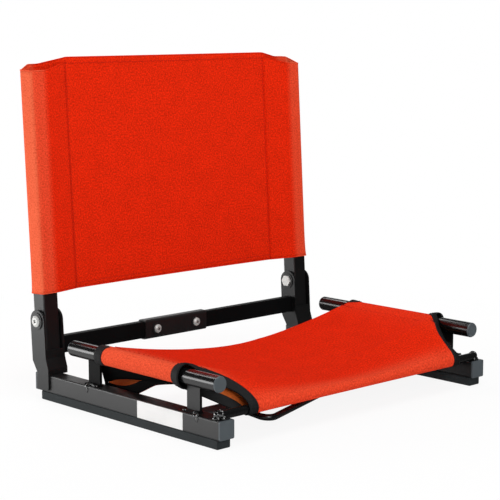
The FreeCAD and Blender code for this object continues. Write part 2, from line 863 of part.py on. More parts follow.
def seat_sling():
    """Cloth hung between the rods; it falls to the front crossbar, its corners cut away."""
    offset, height = size("rail_offset").number, ROD_HEIGHT.number
    rear, front = size("seat_sleeve_rear").number, -size("seat_sleeve_front").number
    hem = size("hem_half_width").number
    mid_wall = size("cloth_gap").number + size("cloth").number / 2
    around_rod = ROD_RADIUS.number + mid_wall
    half_width = offset - around_rod * sine(size("sleeve_turn")).number
    edge = height + around_rod * cosine(size("sleeve_turn")).number
    hem_radius = size("crossbar_diameter").number / 2
    hem_y = (CROSSBAR_Y - RAIL_MID).number + (hem_radius + mid_wall) * sine(size("hem_turn")).number
    hem_z = CROSSBAR_Z.number + (hem_radius + mid_wall) * cosine(size("hem_turn")).number
    rear_low = edge - size("seat_rear_sag").number
    front_low = edge - size("seat_front_sag").number

    sleeve_end = sheet_section(front, half_width, edge, front_low)
    top = Part.makeLoft([sheet_section(rear, half_width, edge, rear_low), sleeve_end], True, True)
    apron = [sleeve_end]
    for step in range(1, APRON_STEPS):
        part = step / APRON_STEPS
        narrow = part ** size("apron_narrowing").number
        drop = part ** size("apron_fall").number
        apron.append(
            sheet_section(
                front + (hem_y - front) * part,
                half_width + (hem - half_width) * narrow,
                edge + (hem_z - edge) * drop,
                front_low + (hem_z - front_low) * part,
            )
        )
    apron.append(sheet_section(hem_y, hem, hem_z, hem_z - size("hem_sag").number))
    fall = Part.makeLoft(apron, True, False)
    pieces = [fall]
    for side in (-1, 1):
        start = FreeCAD.Vector(side * offset, front, height)
        pieces.append(cloth_tube(start, FreeCAD.Vector(0, 1, 0), rear - front, ROD_RADIUS.number))
    start = FreeCAD.Vector(-hem, (CROSSBAR_Y - RAIL_MID).number, CROSSBAR_Z.number)
    pieces.append(cloth_tube(start, FreeCAD.Vector(1, 0, 0), hem * 2, hem_radius))
    sling = doc.addObject("Part::Feature", "seat_cloth")
    sling.Shape = top.fuse(pieces).removeSplitter().Solids[0]
    finish(place(sling, ZERO, RAIL_MID, ZERO), "seat_sling")


def polygon_face(points, level):
    return Part.Face(Part.makePolygon([FreeCAD.Vector(x, y, level) for x, y in points + points[:1]]))


def back_sling():
    """Cloth panel bowed to the rear between two sleeves, whose tops slope from its seams."""
    gap, cloth = size("cloth_gap").number, size("cloth").number
    offset = HINGE_X.number
    inner = HALF_UPRIGHT.number + gap
    outer = inner + cloth
    seam = offset - inner - size("seam_inset").number
    bow, bottom = size("panel_bow").number, size("back_bottom").number
    top, sleeve_top = size("panel_top").number, size("sleeve_top").number
    half = cloth / 2
    arcs = []
    for y in (-half, half):
        ends = [FreeCAD.Vector(side * seam, y, bottom) for side in (-1, 1)]
        arcs.append(Part.Arc(ends[0], FreeCAD.Vector(0, y + bow, bottom), ends[1]).toShape())
    sides = [Part.makeLine(arcs[0].Vertexes[i].Point, arcs[1].Vertexes[i].Point) for i in (0, 1)]
    panel = Part.Face(Part.Wire([arcs[0], sides[1], arcs[1], sides[0]]))
    height = FreeCAD.Vector(0, 0, top - bottom)
    solids = [panel.extrude(height)]
    for side in (-1, 1):
        skin = [(offset + outer, -outer), (offset + outer, outer), (offset - outer, outer)]
        skin += [(seam, half), (seam, -half), (offset - outer, -outer)]
        room = [(offset + inner, -inner), (offset + inner, inner), (offset - inner, inner)]
        room += [(seam + size("seam_allowance").number, 0), (offset - inner, -inner)]
        outlines = [[(side * x, y) for x, y in outline] for outline in (skin, room)]
        sleeve = polygon_face(outlines[0], bottom).cut(polygon_face(outlines[1], bottom)).extrude(height)
        slope = [(seam, top), (offset - outer, sleeve_top), (offset + offset, sleeve_top)]
        slope += [(offset + offset, top + outer), (seam, top + outer)]
        corners = [FreeCAD.Vector(side * x, -outer, z) for x, z in slope + slope[:1]]
        wedge = Part.Face(Part.makePolygon(corners)).extrude(FreeCAD.Vector(0, outer * 2, 0))
        solids.append(sleeve.cut(wedge))
    sling = doc.addObject("Part::Feature", "back_cloth")
    sling.Shape = solids[0].fuse(solids[1:]).removeSplitter().Solids[0]
    lean_back(sling)
    finish(place(sling, ZERO, PIVOT_Y, size("pivot_height")), "back_sling")


def build():
    base_rails()
    rail_end_plugs()
    foot_strips()
    seat_rods()
    seat_rod_plugs()
    strap_posts()
    front_members()
    hinge_brackets()
    pivot_fasteners()
    back_uprights()
    upright_plugs()
    rear_crossbar()
    hook_clips()
    bench_hook()
    seat_sling()
    back_sling()
    doc.recompute()


def export():
    for item in doc.Objects:
        if {"Invalid", "Error"} & set(item.State):
            raise RuntimeError(f"{item.Label} did not rebuild: {item.State}")
    os.makedirs("parts", exist_ok=True)
    for node in nodes:
        if node.Shape.isNull() or not node.Shape.isValid():
            raise RuntimeError(f"{node.Label} has no valid shape")
        node.Shape.exportStep(f"parts/{node.Label}.step")


build()
export()
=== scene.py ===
import json
from math import cos, pi, radians, sin

import bmesh
import bpy
import numpy as np
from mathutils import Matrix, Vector


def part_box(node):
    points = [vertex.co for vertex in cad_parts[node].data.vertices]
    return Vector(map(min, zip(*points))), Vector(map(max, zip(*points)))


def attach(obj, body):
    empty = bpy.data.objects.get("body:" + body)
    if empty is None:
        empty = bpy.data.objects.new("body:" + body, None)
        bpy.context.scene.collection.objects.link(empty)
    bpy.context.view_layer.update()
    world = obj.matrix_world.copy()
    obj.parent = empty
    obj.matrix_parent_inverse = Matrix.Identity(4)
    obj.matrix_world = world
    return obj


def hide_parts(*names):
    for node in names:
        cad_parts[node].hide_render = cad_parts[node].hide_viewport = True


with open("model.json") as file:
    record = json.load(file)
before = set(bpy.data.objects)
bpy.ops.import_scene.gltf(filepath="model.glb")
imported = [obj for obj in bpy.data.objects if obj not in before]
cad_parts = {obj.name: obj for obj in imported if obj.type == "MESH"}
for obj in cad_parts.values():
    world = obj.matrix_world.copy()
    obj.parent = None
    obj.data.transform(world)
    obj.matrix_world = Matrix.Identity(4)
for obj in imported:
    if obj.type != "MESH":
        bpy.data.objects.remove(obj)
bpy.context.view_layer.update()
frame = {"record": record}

bl_info = {
    "name": "Stadium Chair",
    "version": (1, 0, 0),
    "blender": (4, 5, 0),
    "location": "3D View > Sidebar > Chair",
    "description": "Dresses a folding stadium chair: slings, tape, thread, welds, bolt heads and finishes",
    "category": "Object",
}


def corners(node):
    """Lowest and highest corner of a CAD node, as two arrays in metres."""
    low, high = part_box(node)
    return np.array(low), np.array(high)


ROD_LOW, ROD_HIGH = corners("right_seat_rod")
ROD_X, _, ROD_Z = (ROD_LOW + ROD_HIGH) / 2
ROD_RADIUS = (ROD_HIGH[2] - ROD_LOW[2]) / 2
_, BAR_Y, BAR_Z = sum(corners("front_crossbar")) / 2
RAIL_LOW, RAIL_HIGH = corners("left_base_rail")
UPRIGHT_LOW, UPRIGHT_HIGH = corners("right_upright")
UPRIGHT_X, UPRIGHT_HALF = (UPRIGHT_LOW[0] + UPRIGHT_HIGH[0]) / 2, (UPRIGHT_HIGH[0] - UPRIGHT_LOW[0]) / 2
SEAT_REAR = float(corners("seat_sling")[1][1])
PIVOT = np.array(frame["record"]["behaviour"]["joints"][0]["pos_m"])
LEAN = radians(3.4)
MIRROR = (-1, 1, 1)


# ---------------------------------------------------------------- sizes, colours and camera

def length_of(label, words, default):
    """A property for a length in metres."""
    return bpy.props.FloatProperty(name=label, description=words, default=default, unit="LENGTH")


def colour_of(label, words, default):
    """A property for a colour."""
    return bpy.props.FloatVectorProperty(name=label, description=words, subtype="COLOR", size=3, default=default)


def angle_of(label, words, degrees):
    """A property for an angle, given in degrees."""
    return bpy.props.FloatProperty(name=label, description=words, subtype="ANGLE", default=radians(degrees))


class ChairClothSizes(bpy.types.PropertyGroup):
    """Sizes of the two slings, their tape and their thread."""
    thickness: length_of("Cloth Thickness", "Thickness of one layer of cloth", 0.0011)
    seat_sleeve: length_of("Seat Sleeve", "Length of the seat's sleeves along the rods", 0.1765)
    seat_front: length_of("Seat Height at the Front", "Height of the seat's middle at the sleeves' front", 0.0514)
    seat_rear: length_of("Seat Height at the Rear", "Height of the seat's middle at its rear edge", 0.0609)
    hem_radius: length_of("Hem Radius", "Radius of the front hem round the crossbar", 0.0066)
    back_top: length_of("Back Top", "Height of the panel's top edge above the pivot, along the lean", 0.376)
    back_bottom: length_of("Back Bottom", "Height of the back's lower edge above the pivot, along the lean", 0.040)
    back_seam: length_of("Back Seam", "Distance of the sleeves' seams from the middle", 0.2014)
    back_bow: length_of("Back Bow", "How far the panel hangs to the rear in its middle", 0.006)
    tape_width: length_of("Tape Width", "Width of the binding tape on each face", 0.0140)
    stitch: length_of("Stitch", "Length of one stitch", 0.0030)
    stitch_pitch: length_of("Stitch Pitch", "Distance from one stitch to the next", 0.0042)


class ChairFinishes(bpy.types.PropertyGroup):
    """Colours of the finishes."""
    cloth: colour_of("Cloth", "Colour of the woven cloth", (0.74, 0.022, 0.0030))
    # painted sheen: a lighter orange that stands in for light glancing off the cloth where it is stretched over a tube
    # and where it faces the light
    painted_sheen_colour: colour_of("Painted Cloth Sheen", "Colour of the cloth where it is stretched over a tube", (0.86, 0.16, 0.070))
    # partly painted light: the inner side's own colour, made a lighter orange that stands in for light shining through
    # the cloth
    inside: colour_of("Cloth Inside", "Colour of the cloth's inner side", (0.50, 0.095, 0.012))
    thread: colour_of("Thread", "Colour of the sewing thread", (0.48, 0.015, 0.005))
    tape: colour_of("Tape", "Colour of the binding tape", (0.008, 0.008, 0.0085))
    enamel: colour_of("Enamel", "Colour of the frame's enamel", (0.0038, 0.0038, 0.0040))
    plug: colour_of("Plugs", "Colour of the tube ends' plugs", (0.075, 0.090, 0.100))
    rubber: colour_of("Rubber", "Colour of the foot strips", (0.022, 0.027, 0.029))
    zinc: colour_of("Zinc", "Colour of the plated bolts", (0.62, 0.62, 0.60))
    plate: colour_of("Plate", "Colour of the bare plate", (0.88, 0.88, 0.87))


class ChairStage(bpy.types.PropertyGroup):
    """Place and lens of the camera."""
    azimuth: angle_of("Azimuth", "Turn of the camera from the chair's front", -43.53271)
    elevation: angle_of("Elevation", "Height of the camera as an angle", 8.51004)
    distance: length_of("Distance", "Distance of the camera from its target", 2.306925)
    target: bpy.props.FloatVectorProperty(
        name="Target", description="Point the camera looks at", subtype="TRANSLATION", size=3,
        default=(-0.014881, 0.0000198, 0.211085))
    lens: bpy.props.FloatProperty(
        name="Lens", description="Focal length on a 36 mm sensor, in millimetres", default=113.62555)


# ---------------------------------------------------------------- mesh tools

def smooth_path(points, count):
    """A curve through the points: cubics whose ends lean along their neighbours' chord, evenly divided."""
    p = np.asarray(points, float)
    p = np.vstack([2 * p[0] - p[1], p, 2 * p[-1] - p[-2]])
    s = np.linspace(0, len(p) - 3, 40 * len(p))
    i = np.minimum(s.astype(int), len(p) - 4)
    t = (s - i)[:, None]
    a, b, c, d = p[i], p[i + 1], p[i + 2], p[i + 3]
    curve = 0.5 * (2 * b + (c - a) * t + (2 * a - 5 * b + 4 * c - d) * t ** 2 + (3 * b - a - 3 * c + d) * t ** 3)
    return evenly(curve, count)


def lengths(path):
    """Distance along a path at each of its points."""
    return np.concatenate([[0.0], np.cumsum(np.linalg.norm(np.diff(path, axis=0), axis=-1))])


def evenly(path, count):
    """The same path divided into equal steps."""
    along = lengths(path)
    want = np.linspace(0, along[-1], count)
    return np.stack([np.interp(want, along, path[:, k]) for k in range(path.shape[1])], -1)


def unit(vectors):
    """Vectors scaled to length one."""
    return vectors / np.maximum(np.linalg.norm(vectors, axis=-1, keepdims=True), 1e-12)


def tangents(path):
    """Directions along a path, from each point's neighbours."""
    return unit(np.gradient(path, axis=0))


def face_normals(grid):
    """Normals of a grid from its rows and columns."""
    return unit(np.cross(np.gradient(grid, axis=1), np.gradient(grid, axis=0)))


def ease(x):
    """Smooth step from 0 to 1."""
    x = np.clip(x, 0, 1)
    return x * x * (3 - 2 * x)


def ring_profile(radius, sides):
    """Points of a circle."""
    angle = np.linspace(0, 2 * pi, sides, endpoint=False)
    return radius * np.stack([np.cos(angle), np.sin(angle)], -1)


def grid_quads(rows, cols):
    """Quads between neighbours of a grid that is numbered row by row."""
    a = (np.arange(rows - 1)[:, None] * cols + np.arange(cols - 1)).reshape(-1)
    return np.stack([a, a + 1, a + cols + 1, a + cols], -1)


def surface_uv(points):
    """Metres along the columns and along the rows of a grid, taken at its middle."""
    rows, cols = points.shape[:2]
    u = lengths(points[rows // 2])
    v = lengths(points[:, cols // 2])
    return np.stack(np.broadcast_arrays(u[None, :], v[:, None]), -1)


def both_sides(grid):
    """A sheet and its mirror image about the chair's middle, turned to face the same way out."""
    uv = surface_uv(grid)
    return [(grid, uv), (grid[:, ::-1] * MIRROR, uv)]


def swept(path, across, outward, profile):
    """A closed profile carried along a path: point + across * profile x + outward * profile y."""
    ring = np.vstack([profile, profile[:1]])
    points = path[:, None] + across[:, None] * ring[None, :, :1] + outward[:, None] * ring[None, :, 1:]
    uv = np.stack(np.broadcast_arrays(lengths(path)[:, None], lengths(ring)[None, :]), -1)
    return points, uv


def capped(sheet):
    """A swept sheet whose two ends are drawn together to a point."""
    points, uv = sheet
    first = np.broadcast_to(points[:1, :-1].mean(1, keepdims=True), points[:1].shape)
    last = np.broadcast_to(points[-1:, :-1].mean(1, keepdims=True), points[-1:].shape)
    return np.concatenate([first, points, last]), np.concatenate([uv[:1], uv, uv[-1:]])


def add_piece(name, sheets, material, recalc=True):
    """One mesh object from grids of points; each sheet is (points, uv), or (points, uv, painted sheen)."""
    points = np.concatenate([s[0].reshape(-1, 3) for s in sheets])
    uvs = np.concatenate([s[1].reshape(-1, 2) for s in sheets])
    worn = np.concatenate([s[2].ravel() if len(s) > 2 else np.zeros(s[0].size // 3) for s in sheets])
    starts = np.cumsum([0] + [s[0].shape[0] * s[0].shape[1] for s in sheets[:-1]])
    quads = np.concatenate([grid_quads(*s[0].shape[:2]) + start for s, start in zip(sheets, starts)])
    return add_mesh(name, points, uvs, quads, material, recalc=recalc, worn=worn)


def add_mesh(name, points, uvs, quads, material, merge=1e-5, recalc=True, worn=None):
    """One smooth mesh object from points, their uv, quads and how strong each point's painted sheen is.

    Points closer than the merge distance become one, and the faces are turned outwards where asked.
    """
    mesh = bpy.data.meshes.new(name)
    mesh.vertices.add(len(points))
    mesh.vertices.foreach_set("co", points.astype(np.float32).ravel())
    mesh.loops.add(quads.size)
    mesh.loops.foreach_set("vertex_index", quads.astype(np.int32).ravel())
    mesh.polygons.add(len(quads))
    mesh.polygons.foreach_set("loop_start", np.arange(0, quads.size, 4, dtype=np.int32))
    mesh.polygons.foreach_set("use_smooth", np.ones(len(quads), dtype=bool))
    layer = mesh.uv_layers.new(name="UVMap")
    layer.data.foreach_set("uv", uvs[quads.ravel()].astype(np.float32).ravel())
    mesh.update(calc_edges=True)
    if worn is not None:
        mesh.attributes.new("worn", "FLOAT", "POINT").data.foreach_set("value", worn.astype(np.float32))
    work = bmesh.new()
    work.from_mesh(mesh)
    bmesh.ops.remove_doubles(work, verts=work.verts, dist=merge)
    if recalc:
        bmesh.ops.recalc_face_normals(work, faces=work.faces)
    work.to_mesh(mesh)
    work.free()
    mesh.materials.append(material)
    piece = bpy.data.objects.new(name, mesh)
    bpy.context.collection.objects.link(piece)
    return piece


def thicken(piece, thickness):
    """Gives a sheet its thickness, half to each side; gives the modifier."""
    wall = piece.modifiers.new("thickness", "SOLIDIFY")
    wall.thickness, wall.offset = thickness, 0.0
    return wall


# ---------------------------------------------------------------- shader tools

def feed(tree, socket, value):
    """Links an output to a socket, or gives the socket a number."""
    if isinstance(value, (int, float)):
        socket.default_value = value
    else:
        tree.links.new(value, socket)


def maths(tree, operation, *values):
    """A math node fed by sockets or numbers; gives its result."""
    made = tree.nodes.new("ShaderNodeMath")
    made.operation = operation
    for socket, value in zip(made.inputs, values):
        feed(tree, socket, value)
    return made.outputs[0]


def vector_maths(tree, operation, first, second=(0, 0, 0)):
    """A vector math node of a socket and a fixed vector; gives its value."""
    made = tree.nodes.new("ShaderNodeVectorMath")
    made.operation = operation
    made.inputs[1].default_value = second
    tree.links.new(first, made.inputs[0])
    return made.outputs["Value"]


def noise(tree, where, scale, detail):
    """A noise texture at a place, with a number or a socket for its scale; gives its value."""
    made = tree.nodes.new("ShaderNodeTexNoise")
    made.inputs["Detail"].default_value = detail
    tree.links.new(where, made.inputs["Vector"])
    feed(tree, made.inputs["Scale"], scale)
    return made.outputs["Fac"]


def ranged(tree, value, start, stop, low, high, kind="LINEAR"):
    """A value mapped from one range to another."""
    made = tree.nodes.new("ShaderNodeMapRange")
    made.interpolation_type = kind
    for label, number in zip(("From Min", "From Max", "To Min", "To Max"), (start, stop, low, high)):
        made.inputs[label].default_value = number
    tree.links.new(value, made.inputs["Value"])
    return made.outputs["Result"]


def tones(tree, factor, colour, spread):
    """A colour darkened and lightened by a spread, blended by a factor; gives the colour socket."""
    ramp = tree.nodes.new("ShaderNodeValToRGB")
    dark, light = ramp.color_ramp.elements
    dark.position, light.position = 0.3, 0.7
    dark.color = (*(c * (1 - spread) for c in colour), 1)
    light.color = (*(min(1.0, c * (1 + spread)) for c in colour), 1)
    tree.links.new(factor, ramp.inputs["Fac"])
    return ramp.outputs["Color"]


def relief(tree, shader, height, strength, distance):
    """A bump on the shader's normal."""
    bump = tree.nodes.new("ShaderNodeBump")
    bump.inputs["Strength"].default_value = strength
    bump.inputs["Distance"].default_value = distance
    tree.links.new(height, bump.inputs["Height"])
    tree.links.new(bump.outputs["Normal"], shader.inputs["Normal"])


def new_group(name, inputs, outputs):
    """An empty shader group with float sockets, and a vector socket for each input without a default."""
    group = bpy.data.node_groups.new(name, "ShaderNodeTree")
    for label, value in inputs.items():
        kind = "NodeSocketVector" if value is None else "NodeSocketFloat"
        socket = group.interface.new_socket(label, in_out="INPUT", socket_type=kind)
        if value is not None:
            socket.default_value = value
    for label in outputs:
        group.interface.new_socket(label, in_out="OUTPUT", socket_type="NodeSocketFloat")
    return group, group.nodes.new("NodeGroupInput").outputs, group.nodes.new("NodeGroupOutput").inputs


def woven_group():
    """Plain weave: threads that pass over and under each other, with uneven yarns and a slow change of shade."""
    group, enter, leave = new_group("plain_weave", {"Vector": None, "Threads": 1400.0, "Slub": 420.0},
                                    ("Shade", "Height"))
    parts = group.nodes.new("ShaderNodeSeparateXYZ")
    group.links.new(enter["Vector"], parts.inputs[0])
    turn = maths(group, "MULTIPLY", enter["Threads"], pi)
    warp, weft = (maths(group, "SINE", maths(group, "MULTIPLY", parts.outputs[axis], turn)) for axis in "XY")
    weave = maths(group, "MULTIPLY", warp, weft)
    yarn = noise(group, enter["Vector"], enter["Slub"], 3.0)
    slow = noise(group, enter["Vector"], 38.0, 2.0)
    shade = maths(group, "MULTIPLY_ADD", yarn, 0.88, maths(group, "MULTIPLY", slow, 0.12))
    group.links.new(maths(group, "MULTIPLY_ADD", weave, 0.08, shade), leave["Shade"])
    group.links.new(maths(group, "MULTIPLY_ADD", weave, 0.35, yarn), leave["Height"])
    return group


def grain_group():
    """Fine uneven surface of paint, plastic or rubber: a roughness that varies and a small height."""
    group, enter, leave = new_group("fine_grain", {"Vector": None, "Scale": 600.0, "Middle": 0.4, "Spread": 0.1},
                                    ("Roughness", "Height", "Cloud"))
    fine = noise(group, enter["Vector"], enter["Scale"], 3.0)
    cloud = noise(group, enter["Vector"], 22.0, 4.0)
    both = maths(group, "SUBTRACT", maths(group, "ADD", fine, cloud), 1.0)
    rough = maths(group, "MULTIPLY_ADD", both, enter["Spread"], enter["Middle"])
    for label, value in (("Roughness", rough), ("Height", fine), ("Cloud", cloud)):
        group.links.new(value, leave[label])
    return group


GROUP_MAKERS = {"plain_weave": woven_group, "fine_grain": grain_group}


def group_node(tree, name, place, **values):
    """A shared shader group, built the first time it is asked for and fed with coordinates; gives its outputs."""
    made = tree.nodes.new("ShaderNodeGroup")
    made.node_tree = bpy.data.node_groups.get(name) or GROUP_MAKERS[name]()
    for label, value in values.items():
        made.inputs[label].default_value = value
    where = tree.nodes.new("ShaderNodeTexCoord")
    tree.links.new(where.outputs[place], made.inputs["Vector"])
    return made.outputs


def blank_material(name, **values):
    """A material, its tree and its Principled shader, whose inputs are named with underscores for spaces."""
    material = bpy.data.materials.new(name)
    material.use_nodes = True
    shader = material.node_tree.nodes["Principled BSDF"]
    for label, value in values.items():
        shader.inputs[label.replace("_", " ")].default_value = value
    return material, material.node_tree, shader


def woven_material(name, colour, threads, slub, spread, roughness, strength, specular=0.5, painted_sheen_colour=None):
    """Woven stuff on the piece's own uv, which is in metres; a painted sheen colour is blended in, as strongly as each
    point's painted sheen asks, where the cloth is stretched over a tube and where it faces the light.
    """
    material, tree, shader = blank_material(name, Roughness=roughness, Specular_IOR_Level=specular)
    weave = group_node(tree, "plain_weave", "UV", Threads=threads, Slub=slub)
    plain = tones(tree, weave["Shade"], colour, spread)
    if painted_sheen_colour is not None:
        # painted sheen: the lighter colour is blended in by each point's painted sheen, patchy with the weave
        worn = tree.nodes.new("ShaderNodeAttribute")
        worn.attribute_name = "worn"
        blend = tree.nodes.new("ShaderNodeMix")
        blend.data_type = "RGBA"
        blend.clamp_factor = True
        patchy = maths(tree, "MULTIPLY_ADD", weave["Shade"], 2.2, -0.1)
        tree.links.new(maths(tree, "MULTIPLY", worn.outputs["Fac"], patchy), blend.inputs["Factor"])
        tree.links.new(plain, blend.inputs["A"])
        blend.inputs["B"].default_value = (*painted_sheen_colour, 1)
        plain = blend.outputs["Result"]
    tree.links.new(plain, shader.inputs["Base Color"])
    relief(tree, shader, weave["Height"], strength, 0.0004)
    return material


def grained_material(name, colour, scale, rough, spread, strength, specular=0.5, tint=0.12, metallic=0.0, coat=0.0):
    """Paint, plastic, rubber or metal on Object coordinates."""
    material, tree, shader = blank_material(name, Metallic=metallic, Specular_IOR_Level=specular, Coat_Weight=coat,
                                            Coat_Roughness=0.12)
    grain = group_node(tree, "fine_grain", "Object", Scale=scale, Middle=rough, Spread=spread)
    tree.links.new(tones(tree, grain["Cloud"], colour, tint), shader.inputs["Base Color"])
    tree.links.new(grain["Roughness"], shader.inputs["Roughness"])
    relief(tree, shader, grain["Height"], strength, 0.0002)
    return material


# Woven finishes: colour and its share, threads and slubs per metre, spread of shade, roughness, relief, specular level.
WOVEN = {
    "red_cloth": ("cloth", 1.0, 1100, 400, 0.34, 0.95, 0.5, 0.04),
    "cloth_inside": ("inside", 1.0, 1400, 420, 0.16, 0.7, 0.3, 0.2),
    "red_thread": ("thread", 1.0, 3000, 900, 0.25, 0.8, 0.3, 0.1),
    "black_thread": ("tape", 1.0, 3000, 900, 0.25, 0.55, 0.3),
    "black_tape": ("tape", 1.0, 1000, 500, 0.35, 0.7, 0.6, 0.25),
    # painted shade: the tape at a third of its colour, for the loose edges that lie in shadow under the seat
    "dark_tape": ("tape", 0.3, 1000, 500, 0.35, 0.8, 0.6, 0.04),
}
# Other finishes: colour and its share, grains per metre, roughness and its spread, relief, specular level, spread of
# shade, metallic and coat weight.
GRAINED = {
    "satin_enamel": ("enamel", 1.0, 900, 0.42, 0.10, 0.10),
    "rail_enamel": ("enamel", 1.0, 900, 0.42, 0.10, 0.10, 0.70),
    # painted light: the strap's black enamel nine times lighter, standing in for the light that falls on its top
    "strap_enamel": ("enamel", 9.0, 900, 0.50, 0.10, 0.10, 0.3),
    "dull_enamel": ("enamel", 1.0, 900, 0.50, 0.10, 0.10, 0.08),
    "weld_enamel": ("enamel", 1.0, 500, 0.08, 0.04, 0.05, 1.0, 0.12, 0.0, 0.6),
    "gloss_enamel": ("enamel", 1.0, 300, 0.21, 0.06, 0.04, 0.6),
    "sleeve_enamel": ("enamel", 2.0, 900, 0.42, 0.10, 0.12),
    "plug_plastic": ("plug", 1.0, 700, 0.48, 0.12, 0.15),
    "foot_rubber": ("rubber", 1.0, 500, 0.72, 0.12, 0.35, 0.3, 0.2),
    "zinc_steel": ("zinc", 1.0, 800, 0.48, 0.14, 0.12, 0.5, 0.12, 0.45),
    "black_nylon": ("tape", 1.0, 700, 0.45, 0.1, 0.12),
    "recess_shade": ("zinc", 0.22, 800, 0.45, 0.1, 0.1, 0.5, 0.12, 0.6),
    "bare_plate": ("plate", 1.0, 500, 0.42, 0.1, 0.05, 0.5, 0.04),
}
NODE_FINISHES = {
    "rail_enamel": ("left_base_rail", "right_base_rail"),
    "strap_enamel": ("front_cross_strap",),
    "satin_enamel": ("left_front_post", "right_front_post", "left_hinge_bracket", "right_hinge_bracket",
                     "left_upright", "right_upright", "hook_clips"),
    "dull_enamel": ("rear_bar_left", "rear_bar_right", "left_rear_post", "right_rear_post"),
    "gloss_enamel": ("left_seat_rod", "right_seat_rod", "front_crossbar", "bench_hook"),
    "sleeve_enamel": ("splice_sleeve",),
    "plug_plastic": ("rail_end_plugs", "seat_rod_plugs", "upright_plugs"),
    "foot_rubber": ("left_foot_strip", "right_foot_strip"),
    "zinc_steel": ("pivot_bolts", "pivot_nuts", "splice_bolts", "splice_nuts"),
    "black_nylon": ("pivot_washers", "pivot_spacers", "splice_washers"),
    "red_cloth": ("seat_sling", "back_sling"),
}


def finish(name):
    """The named finish, built the first time it is asked for."""
    title = "dressed_" + name
    made = bpy.data.materials.get(title)
    if made:
        return made
    look = bpy.context.scene.chair_finishes
    make, table = (woven_material, WOVEN) if name in WOVEN else (grained_material, GRAINED)
    colour, share, *values = table[name]
    # only the red cloth carries the painted sheen colour
    stretched = {"painted_sheen_colour": look.painted_sheen_colour} if name == "red_cloth" else {}
    return make(title, [share * c for c in getattr(look, colour)], *values, **stretched)


class CHAIR_OT_frame_finishes(bpy.types.Operator):
    """Gives each node of the frame its finish."""
    bl_idname = "chair.frame_finishes"
    bl_label = "Frame Finishes"

    def execute(self, context):
        for name, nodes in NODE_FINISHES.items():
            for node in nodes:
                mesh = bpy.data.objects[node].data
                mesh.materials.clear()
                mesh.materials.append(finish(name))
        return {"FINISHED"}


# ---------------------------------------------------------------- the seat's cloth

TOP, RIGHT, UNDER = 0, 1, 2  # parts of the seat's sections
SEAT_SAG = 1.7  # power of the seat's hanging curve
SEAT_LAYERS = 0.0014  # from one layer of the seat to the other
LAYERS_MEET = 0.012  # how far in from the rod the layers come together
SEAM_FROM_ROD, SEAM_WIDTH, SEAM_DEPTH = 0.021, 0.003, 0.0008
SLEEVE_GAP, SLEEVE_INSET = 0.0003, 0.0015  # round the rod, and in from the CAD seat's rear edge
# How far the sleeves' front and rear ends stand open: along the rod, to the sides, up and down.
FRONT_FLARE, REAR_FLARE = (0.022, 0.0030, 0.0046), (0.018, 0.0010, 0.0012)
ACROSS = np.linspace(-1, 1, 161)
SLEEVE_ROWS, WRAP_COLS, CORNER_ROWS, HEM_ROWS = 48, 34, 44, 26
TAPE_FROM, TAPE_AT_SLEEVE = 0.93, 0.962  # inner edge of the front tape, on the apron and at the sleeve's end
# A front corner from the sleeve's end to the hem: across, behind the sleeve's end, up. First its cut edge, then
# the ridge inside the tape.
CORNER_CUT = np.array([(0.2465, -0.0074, 0.0933), (0.2420, -0.0128, 0.0881), (0.2378, -0.0181, 0.0832),
                       (0.2301, -0.0301, 0.0762), (0.2226, -0.0414, 0.0702), (0.2165, -0.0524, 0.0658),
                       (0.2137, -0.0645, 0.0601)])
CORNER_RIDGE = np.array([(0.2356, -0.0093, 0.0923), (0.2283, -0.0178, 0.0886), (0.2210, -0.0263, 0.0846),
                         (0.2146, -0.0353, 0.0802), (0.2095, -0.0451, 0.0753), (0.2055, -0.0552, 0.0696),
                         (0.2026, -0.0650, 0.0636)])
# The same two lines round the crossbar: across, behind the crossbar's middle, above it.
HEM_CUT = np.array([(0.2129, -0.0024, 0.0105), (0.2131, -0.0064, 0.0050), (0.2132, -0.0074, 0.0),
                    (0.2132, -0.0052, -0.0050), (0.2132, 0.0, -0.0070)])
HEM_RIDGE = np.array([(0.2009, -0.0040, 0.0118), (0.1999, -0.0080, 0.0050), (0.1997, -0.0080, 0.0),
                      (0.1996, -0.0054, -0.0052), (0.1996, 0.0, -0.0070)])
HEM_ARC = (-30, 180)  # degrees round the crossbar
# Two lines between the apron's middle and its ridge, as parts of the way, and the places of all five across.
KEY_PARTS, KEY_PLACES = (0.55, 0.87), (0.0, 0.5, 0.8, TAPE_FROM, 1.0)
BLEND = 0.3  # share of the apron over which it leaves the sleeves' rows
PUCKERS, PUCKER_DEPTH = 22, 0.00035  # waves along the hem, to each side
# Ways in from the lower layer's cut edge: at the sleeve, half way and at the hem.
EDGE_WAYS = ((-0.83, 0.0, 0.55), (-0.45, 0.10, 0.89), (-1.0, 0.0, 0.0))
# Slack folds on the seat's top: across, depth, direction in degrees, length, width, height.
FOLDS = np.array([(-0.060, -0.060, 60, 0.060, 0.006, 0.0006), (-0.020, -0.020, 75, 0.070, 0.007, 0.0005),
                  (0.040, 0.010, 80, 0.050, 0.006, 0.0005), (0.060, -0.110, -50, 0.055, 0.006, 0.0006),
                  (0.095, -0.100, -48, 0.060, 0.006, 0.0006), (0.130, -0.115, -45, 0.050, 0.005, 0.0005),
                  (-0.120, -0.050, 40, 0.070, 0.008, 0.0007), (-0.150, -0.090, 35, 0.060, 0.007, 0.0006),
                  (0.150, -0.020, 120, 0.060, 0.007, 0.0005), (-0.090, 0.015, 70, 0.050, 0.006, 0.0005)])
